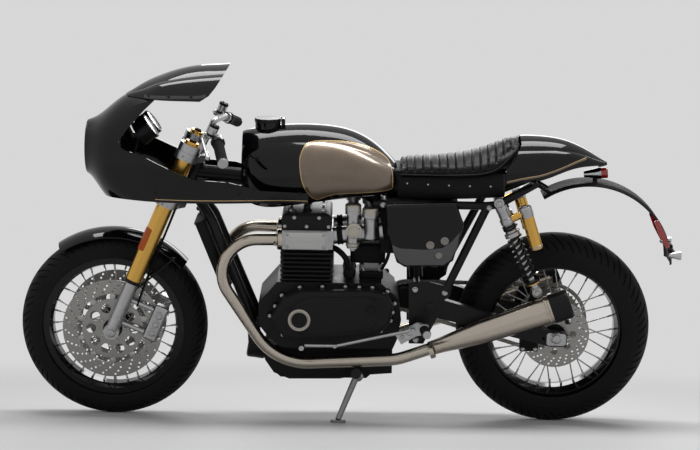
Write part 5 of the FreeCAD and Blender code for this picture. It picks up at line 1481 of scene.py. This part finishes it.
publish("tail_lamp_rim", moved(lens_rim, facing((839, 0, 822), (25, 0, 2))), chrome, 30)
print("trim done")

# %% [markdown]
# Each shock is a silver body above a dark spring, with a gold can beside it.  The sleeves,
# collars and caps below could be stacked from cylinders, but a closed outline gives grooves and
# lips in one go.  Each is turned round the line of the shock or of the can.

# %% Shock absorbers
SHOCK_Y = 152
SHOCK_TOP, SHOCK_FOOT = Vector((511, -SHOCK_Y, 751)), Vector((640, -SHOCK_Y, 466))
CAN_TOP, CAN_FOOT = Vector((592, -SHOCK_Y, 738)), Vector((634, -SHOCK_Y, 608))
on_shock, on_can = facing(SHOCK_TOP, SHOCK_FOOT - SHOCK_TOP), facing(CAN_TOP, CAN_FOOT - CAN_TOP)
SLEEVES = (
    ("shock_bodies", on_shock, bare_alloy, (
        [(12, 11), (17.4, 11), (18.6, 13), (18.6, 28), (17.5, 30), (17.5, 52), (21, 54), (21, 70), (17.5, 72),
         (17.5, 92), (19, 94), (19, 100), (24.8, 103), (24.8, 114.8), (12, 114.8)],)),
    ("shock_collars", on_shock, satin_black, (
        [(18.8, 76), (22, 76.6), (22, 84), (18.8, 84.6)],
        [(18.8, 86), (22, 86.6), (22, 91), (18.8, 91.6)],
        [(12, 269.6), (24.8, 269.8), (24.8, 277), (20, 282), (12, 282)])),
    ("shock_rods", on_shock, bolt_steel, (
        [(10, 114), (11.7, 114.4), (11.7, 270), (10, 270.4)],
        [(8, 282), (12.5, 283), (12.5, 296), (8, 297)])),
    ("shock_can_caps", on_can, bare_alloy, (
        [(2, -6), (9, -6), (10, -4), (18, -2.4), (20.7, 1), (20.7, 30), (19.6, 32), (2, 32)],
        [(19.6, 127), (20.9, 128), (20.9, 132), (19.6, 133)],
        [(2, 135.5), (19.4, 135.5), (18, 138.4), (2, 139)])))
for name, place, material, outlines in SLEEVES:
    sleeves = joined(*[lathe(outline, 48, closed=True) for outline in outlines])
    publish_pair(name, moved(sleeves, place), material, 30)
print("shocks done")

# %% Shock eyes and bolts
ends = (SHOCK_TOP, SHOCK_FOOT)
eye = lathe([(9, -13.6), (14.6, -13.6), (15.7, -12.8), (15.7, 12.8), (14.6, 13.6), (9, 13.6)], 40,
            closed=True)
publish_pair("shock_eyes", copies(eye, [facing(place, ALONG_Y) for place in ends]), bare_alloy, 30)
publish_pair("shock_bolts", copies(bolt(9.5), [facing(place - ALONG_Y * 14) for place in ends]), bolt_steel)
print("shock eyes done")

# %% [markdown]
# The side cover is gloss black above and grey in a shallow recess below, and round caps hold it.
# A recess in the solid would still need a finish of its own, so a thin plate with a beveled rim
# stands for it.

# %% Side covers
SIDE_COVER_Y = 152
RECESS = [(180, 611), (206, 600), (284, 597), (338, 603), (368, 626), (392, 655), (382, 600), (366, 566),
          (342, 549), (224, 546), (204, 556), (186, 585)]
COVER_LIP = [(172, 735), (260, 739), (368, 744)]
publish_pair("side_cover_recesses", sideways(plate([RECESS], -1, 0.9, 0.5), SIDE_COVER_Y), recess_grey, 50)
caps = []
for x, z, radius in ((300, 612, 13), (345, 626, 13), (328, 578, 11)):
    cap = lathe([(0, 2.4), (radius * 0.45, 2.4), (radius * 0.55, 3.6), (radius * 0.85, 3.4), (radius, 2),
                 (radius, -1)], 40)
    caps.append(moved(cap, facing((x, -SIDE_COVER_Y - 0.6, z))))
publish_pair("side_cover_caps", joined(*caps), chain_steel, 30)
lip = sweep([Vector((x, -SIDE_COVER_Y + 4.5, z)) for x, z in smooth(COVER_LIP, 8)], 3.4, 12)
publish_pair("side_cover_lips", lip, gloss_black, 60)
print("side covers done")

# %% [markdown]
# The frame shows its bolts: large caps on the swingarm pivot, smaller heads on the plates and the
# seat rails.  They are what makes bent tube and plate look like a machine that comes apart.  Each
# kind is one mesh, set down at a list of spots.

# %% Frame bolts
PLATE_Y = 147
pivot_cap = lathe([(0, 7), (6, 7), (8, 5.4), (15, 5.2), (17, 3.6), (17, -1)], 48)
publish_pair("pivot_caps", moved(pivot_cap, facing((306, -PLATE_Y, 408))), satin_black, 30)
heads = copies(bolt(7), on_side(-PLATE_Y, ((256, 466), (262, 301), (350, 457), (250, 330))))
rail_bolts = copies(bolt(6.5), on_side(-114, ((484, 726), (150, 730))))
publish_pair("frame_bolts", joined(heads, rail_bolts), bolt_steel)
print("frame bolts done")

# %% [markdown]
# The rear axle's nuts sit on plates, and a chain adjuster pushes on each plate from behind.  The
# rear caliper is two halves over the disc, joined by a bridge.  The plate is stamped sheet, so it
# is an outline with a hole, and the rest are blocks and bars with rounded edges.

# %% Axle plates
AXLE = REAR_AXLE
AXLE_PLATE = [(-30, -20), (-24, -26), (26, -26), (32, -20), (32, 8), (26, 13), (-24, 16), (-30, 10)]
axle_plate = sideways(plate([AXLE_PLATE, circle(10.4, 32)], 0, 3.2, 0.8), 136.1)
publish_pair("axle_plates", moved(axle_plate, shift(AXLE.x, 0, AXLE.z)), bare_alloy, 30)
nut = joined(bolt(14.5), lathe([(0, 15), (7, 14.6), (8, 13.6), (8, 10)], 24))
adjuster = joined(rod((34, -121, -8), (50, -121, -8), 4),
                  rod((34.5, -121, -8), (40, -121, -8), 7.5, sides=6))
publish_pair("axle_nuts", joined(moved(nut, facing((AXLE.x, -139, AXLE.z))),
                                 moved(adjuster, shift(AXLE.x, 0, AXLE.z))), bolt_steel)
print("axle plates done")

# %% Rear caliper
CALIPER = AXLE + Vector((-82, -REAR_DISC_Y, -28))
halves = [block((58, 12, 56), CALIPER + ALONG_Y * side * 11.2, 5, 3) for side in (-1, 1)]
yoke = block((18, 34, 58), CALIPER - Vector((20, 0, 0)), 3)
pistons = copies(lathe([(0, 3), (11, 3), (12.5, 1), (12.5, -2)], 32),
                 [facing(CALIPER + Vector((x, 16.6, 0)), ALONG_Y) for x in (-12, 14)])
publish("rear_caliper_halves", joined(*halves, yoke, pistons), moulded_black, 30, replaces=["rear_caliper"])
caliper_bolts = copies(bolt(5), [facing(CALIPER + Vector((x, -17, -20))) for x in (-20, 20)])
publish("rear_caliper_bolts", caliper_bolts, bolt_steel)
print("rear caliper done")

# %% [markdown]
# The rider's controls: ribbed rubbers on the pegs and the gear pedal, ball joints on its rod, and
# a polished plate that keeps the heel off the swingarm.  The ribs are part of the turned outline,
# so they run round the peg whichever way it points.

# %% Footrests
PEG_IN, PEG_OUT = Vector((284, -196, 352)), Vector((292, -286, 356))
PEG_RIBS, PEG_RIB_STEP = 9, 7
peg_place = facing(PEG_IN, PEG_OUT - PEG_IN)
ribbed = [(12.2, 12)]
for start in (index * PEG_RIB_STEP for index in range(PEG_RIBS)):
    ribbed += [(13.2, 13 + start), (14.8, 14.5 + start), (14.8, 17.5 + start), (13.2, 19 + start)]
peg_rubber = lathe(ribbed + [(12.2, 77)], 36)
toe_rubber = lathe([(8.1, 2), (9.8, 3), (9.8, 12), (9.0, 13), (9.8, 14), (9.8, 30), (8.1, 31)], 28)
rubbers = joined(moved(peg_rubber, peg_place), moved(toe_rubber, facing((-98, -212, 296))))
publish_pair("peg_rubbers", rubbers, grip_rubber, 40)
peg_ends = joined(lathe([(0, 90), (9, 89.4), (12.6, 87), (12.6, 82), (12.1, 81)], 32),
                  lathe([(12.1, 1), (14.6, 1.4), (14.6, 6), (12.1, 7)], 32))
joint = lathe([(0, 8), (6, 7), (7.6, 3), (7.6, -3), (6, -7), (0, -8)], 24)
rod_joints = copies(joint, [facing((250, -211, 352)), facing((6, -211, 296))])
publish_pair("pedal_joints", joined(moved(peg_ends, peg_place), rod_joints), bolt_steel, 30)
print("footrests done")

# %% Heel plates
HEEL_PLATE = [(202, 332), (216, 306), (262, 332), (296, 340), (296, 362), (264, 367)]
heel_plate = plate([HEEL_PLATE, circle(8, 24, (240, 338))], 0.2, 3.2, 0.8)
publish_pair("heel_plates", sideways(heel_plate, 196), bare_alloy, 30)
publish_pair("hanger_screws", copies(cap_screw(6), on_side(-199.2, ((218, 326), (284, 352)))), bolt_steel)
print("heel plates done")

# %% [markdown]
# The radiator's core is thin fins across flat tubes, and rails close its top and foot.  A striped
# texture could stand for the fins, but real ones catch the light in rows.  They are drawn upright
# on the core's own foot, with its lean put on afterwards.

# %% Radiator
FINS, FIN_STEP, TUBES, TUBE_STEP = 47, 4.6, 11, 11
lean_back = shift(-343.5, 0, 446) @ turned(-22, "Y")
fins = copies(block((1.6, 128, 0.9), soft=0.1, segments=1),
              [shift(side * 17.6, 0, 8 + index * FIN_STEP) for index in range(FINS) for side in (-1, 1)])
tubes = copies(block((2.4, 2.2, 220), soft=0.3, segments=1),
               [shift(side * 17.4, (index - TUBES // 2) * TUBE_STEP, 115)
                for index in range(TUBES) for side in (-1, 1)])
rails = copies(block((6, 132, 7), soft=1),
               [shift(side * 17, 0, height) for side in (-1, 1) for height in (5, 225)])
neck = lathe([(0, 24), (12, 23), (15, 21), (16, 17), (16, 12), (11, 11), (11, 0)], 32)
publish("radiator_fins", moved(joined(fins, tubes), lean_back), recess_grey, 30)
publish("radiator_frame", moved(joined(rails, moved(neck, shift(0, 70, 229))), lean_back), satin_black, 30)
print("radiator done")

# %% [markdown]
# Thin stays brace the front guard to the fork legs, and a brake hose runs down to each caliper.
# Their points are given on the fork and at the guard's edge, so they fit the fork's rake, and
# they ride on the steering with all that they touch.

# %% Front guard stays and brake hoses
GUARD_RADIUS = 297
HOSE_ROUTE = [(40, -40, 610), (34, -66, 560), (32, -78, 470), (34, -74, 380), (36, -82, 250), (40, -86, 150),
              (44, -92, 104)]
stays = []
for turn, height in ((50, 150), (66, 262)):
    angle = math.radians(turn)
    edge = FRONT_AXLE + Vector((GUARD_RADIUS * math.cos(angle), -60, GUARD_RADIUS * math.sin(angle)))
    foot = FORK @ Vector((16, -88, height))
    stays.append(sweep(smooth([edge, edge.lerp(foot, 0.5) + Vector((6, -8, 4)), foot], 6), 3.2, 10))
    stays.append(moved(lathe([(0, 3), (7, 2.6), (8, 1), (8, -2)], 24), facing(edge)))
publish_pair("front_guard_stays", joined(*stays), satin_black, 40, body="steering")
hose = sweep(smooth([FORK @ Vector(place) for place in HOSE_ROUTE], 6), 3.6, 10)
publish_pair("brake_hoses", hose, grip_rubber, 60, body="steering")
print("stays and hoses done")

# %% [markdown]
# Behind the cylinders a starter motor lies across the case in front of a breather box, and an
# intake box and three hoses fill the room above.  Little of it shows, so plain rounded shapes are
# enough, but without them the eye would look straight through.

# %% Behind the cylinders
ENGINE_HOSES = (
    ([(-26, -62, 586), (10, -78, 574), (36, -84, 548), (44, -78, 516), (62, -60, 500)], 9.5),
    ([(172, -84, 716), (178, -92, 640), (170, -88, 560), (150, -70, 512)], 5.5),
    ([(84, 70, 600), (60, 84, 560), (66, 80, 520), (90, 60, 500)], 7.5))
starter = lathe([(0, -84), (15, -84), (20, -80), (20, -30), (22, -28), (22, -20), (20, -18), (20, 80),
                 (15, 84), (0, 84)], 40)
breather = block((76, 120, 26), (118, 0, 489), 5, 3)
publish("starter_motor", joined(moved(starter, facing((48, 0, 499))), breather), moulded_black, 40)
breather_bolts = [facing((x, y, 502), (0, 0, 1)) for x in (90, 146) for y in (-50, 50)]
publish("starter_bolts", copies(bolt(5), breather_bolts), bolt_steel)
publish("intake_box", block((112, 104, 62), (106, 0, 556), 10, 3), moulded_black, 40)
hoses = [sweep(smooth(route, 6), thick, 12) for route, thick in ENGINE_HOSES]
publish("engine_hoses", joined(*hoses), grip_rubber, 60)
print("engine top done")

# %% [markdown]
# A red reflector stands on each side of the long guard, and the indicators are bright bullets on
# a dark bar, with an amber lens set into each rear end.  Bullet and lens are two outlines on one
# axis, so they meet without a gap.

# %% Tail reflectors and indicators
GLOW = [(0, -48), (7, -50), (13, -46), (15, 0), (13, 46), (7, 50), (0, 48), (-3, 0)]
low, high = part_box("indicators")
bar_middle = TO_MACHINE @ ((Vector(low) + Vector(high)) / 2) + Vector((1, 0, 0))
bar_middle.y = 0
glow = moved(sideways(plate([GLOW], 0, 5, 1.5), 60), shift(1033, 0, 637) @ turned(-26, "Y"))
publish_pair("guard_reflectors", glow, lamp_red, 40)
stem = lathe([(7.6, 797.6), (7.6, 806), (7.0, 806)], 24)
publish("tail_lamp_stem", moved(stem, shift(826, 0, 0)), satin_black)
indicator = facing(bar_middle - ALONG_Y * 104, (1, 0, 0))
bullet = lathe([(0, -20), (5, -19.4), (8, -16), (12, 0), (14.6, 12), (15, 16), (13.8, 17), (13, 16)], 40)
publish_pair("indicator_bodies", moved(bullet, indicator), chrome, 40)
amber = lathe([(13, 16), (10, 17.4), (5, 17.9), (0, 18)], 40)
publish_pair("indicator_lenses", moved(amber, indicator), amber_lens, 60)
HALF_BAR = ALONG_Y * 92
stalks = joined(rod(bar_middle - HALF_BAR, bar_middle + HALF_BAR, 5.8),
                block((16, 30, 26), bar_middle - Vector((2, 0, 0)), 4))
publish("indicator_bar", stalks, moulded_black, 40, replaces=["indicators"])
print("tail done")
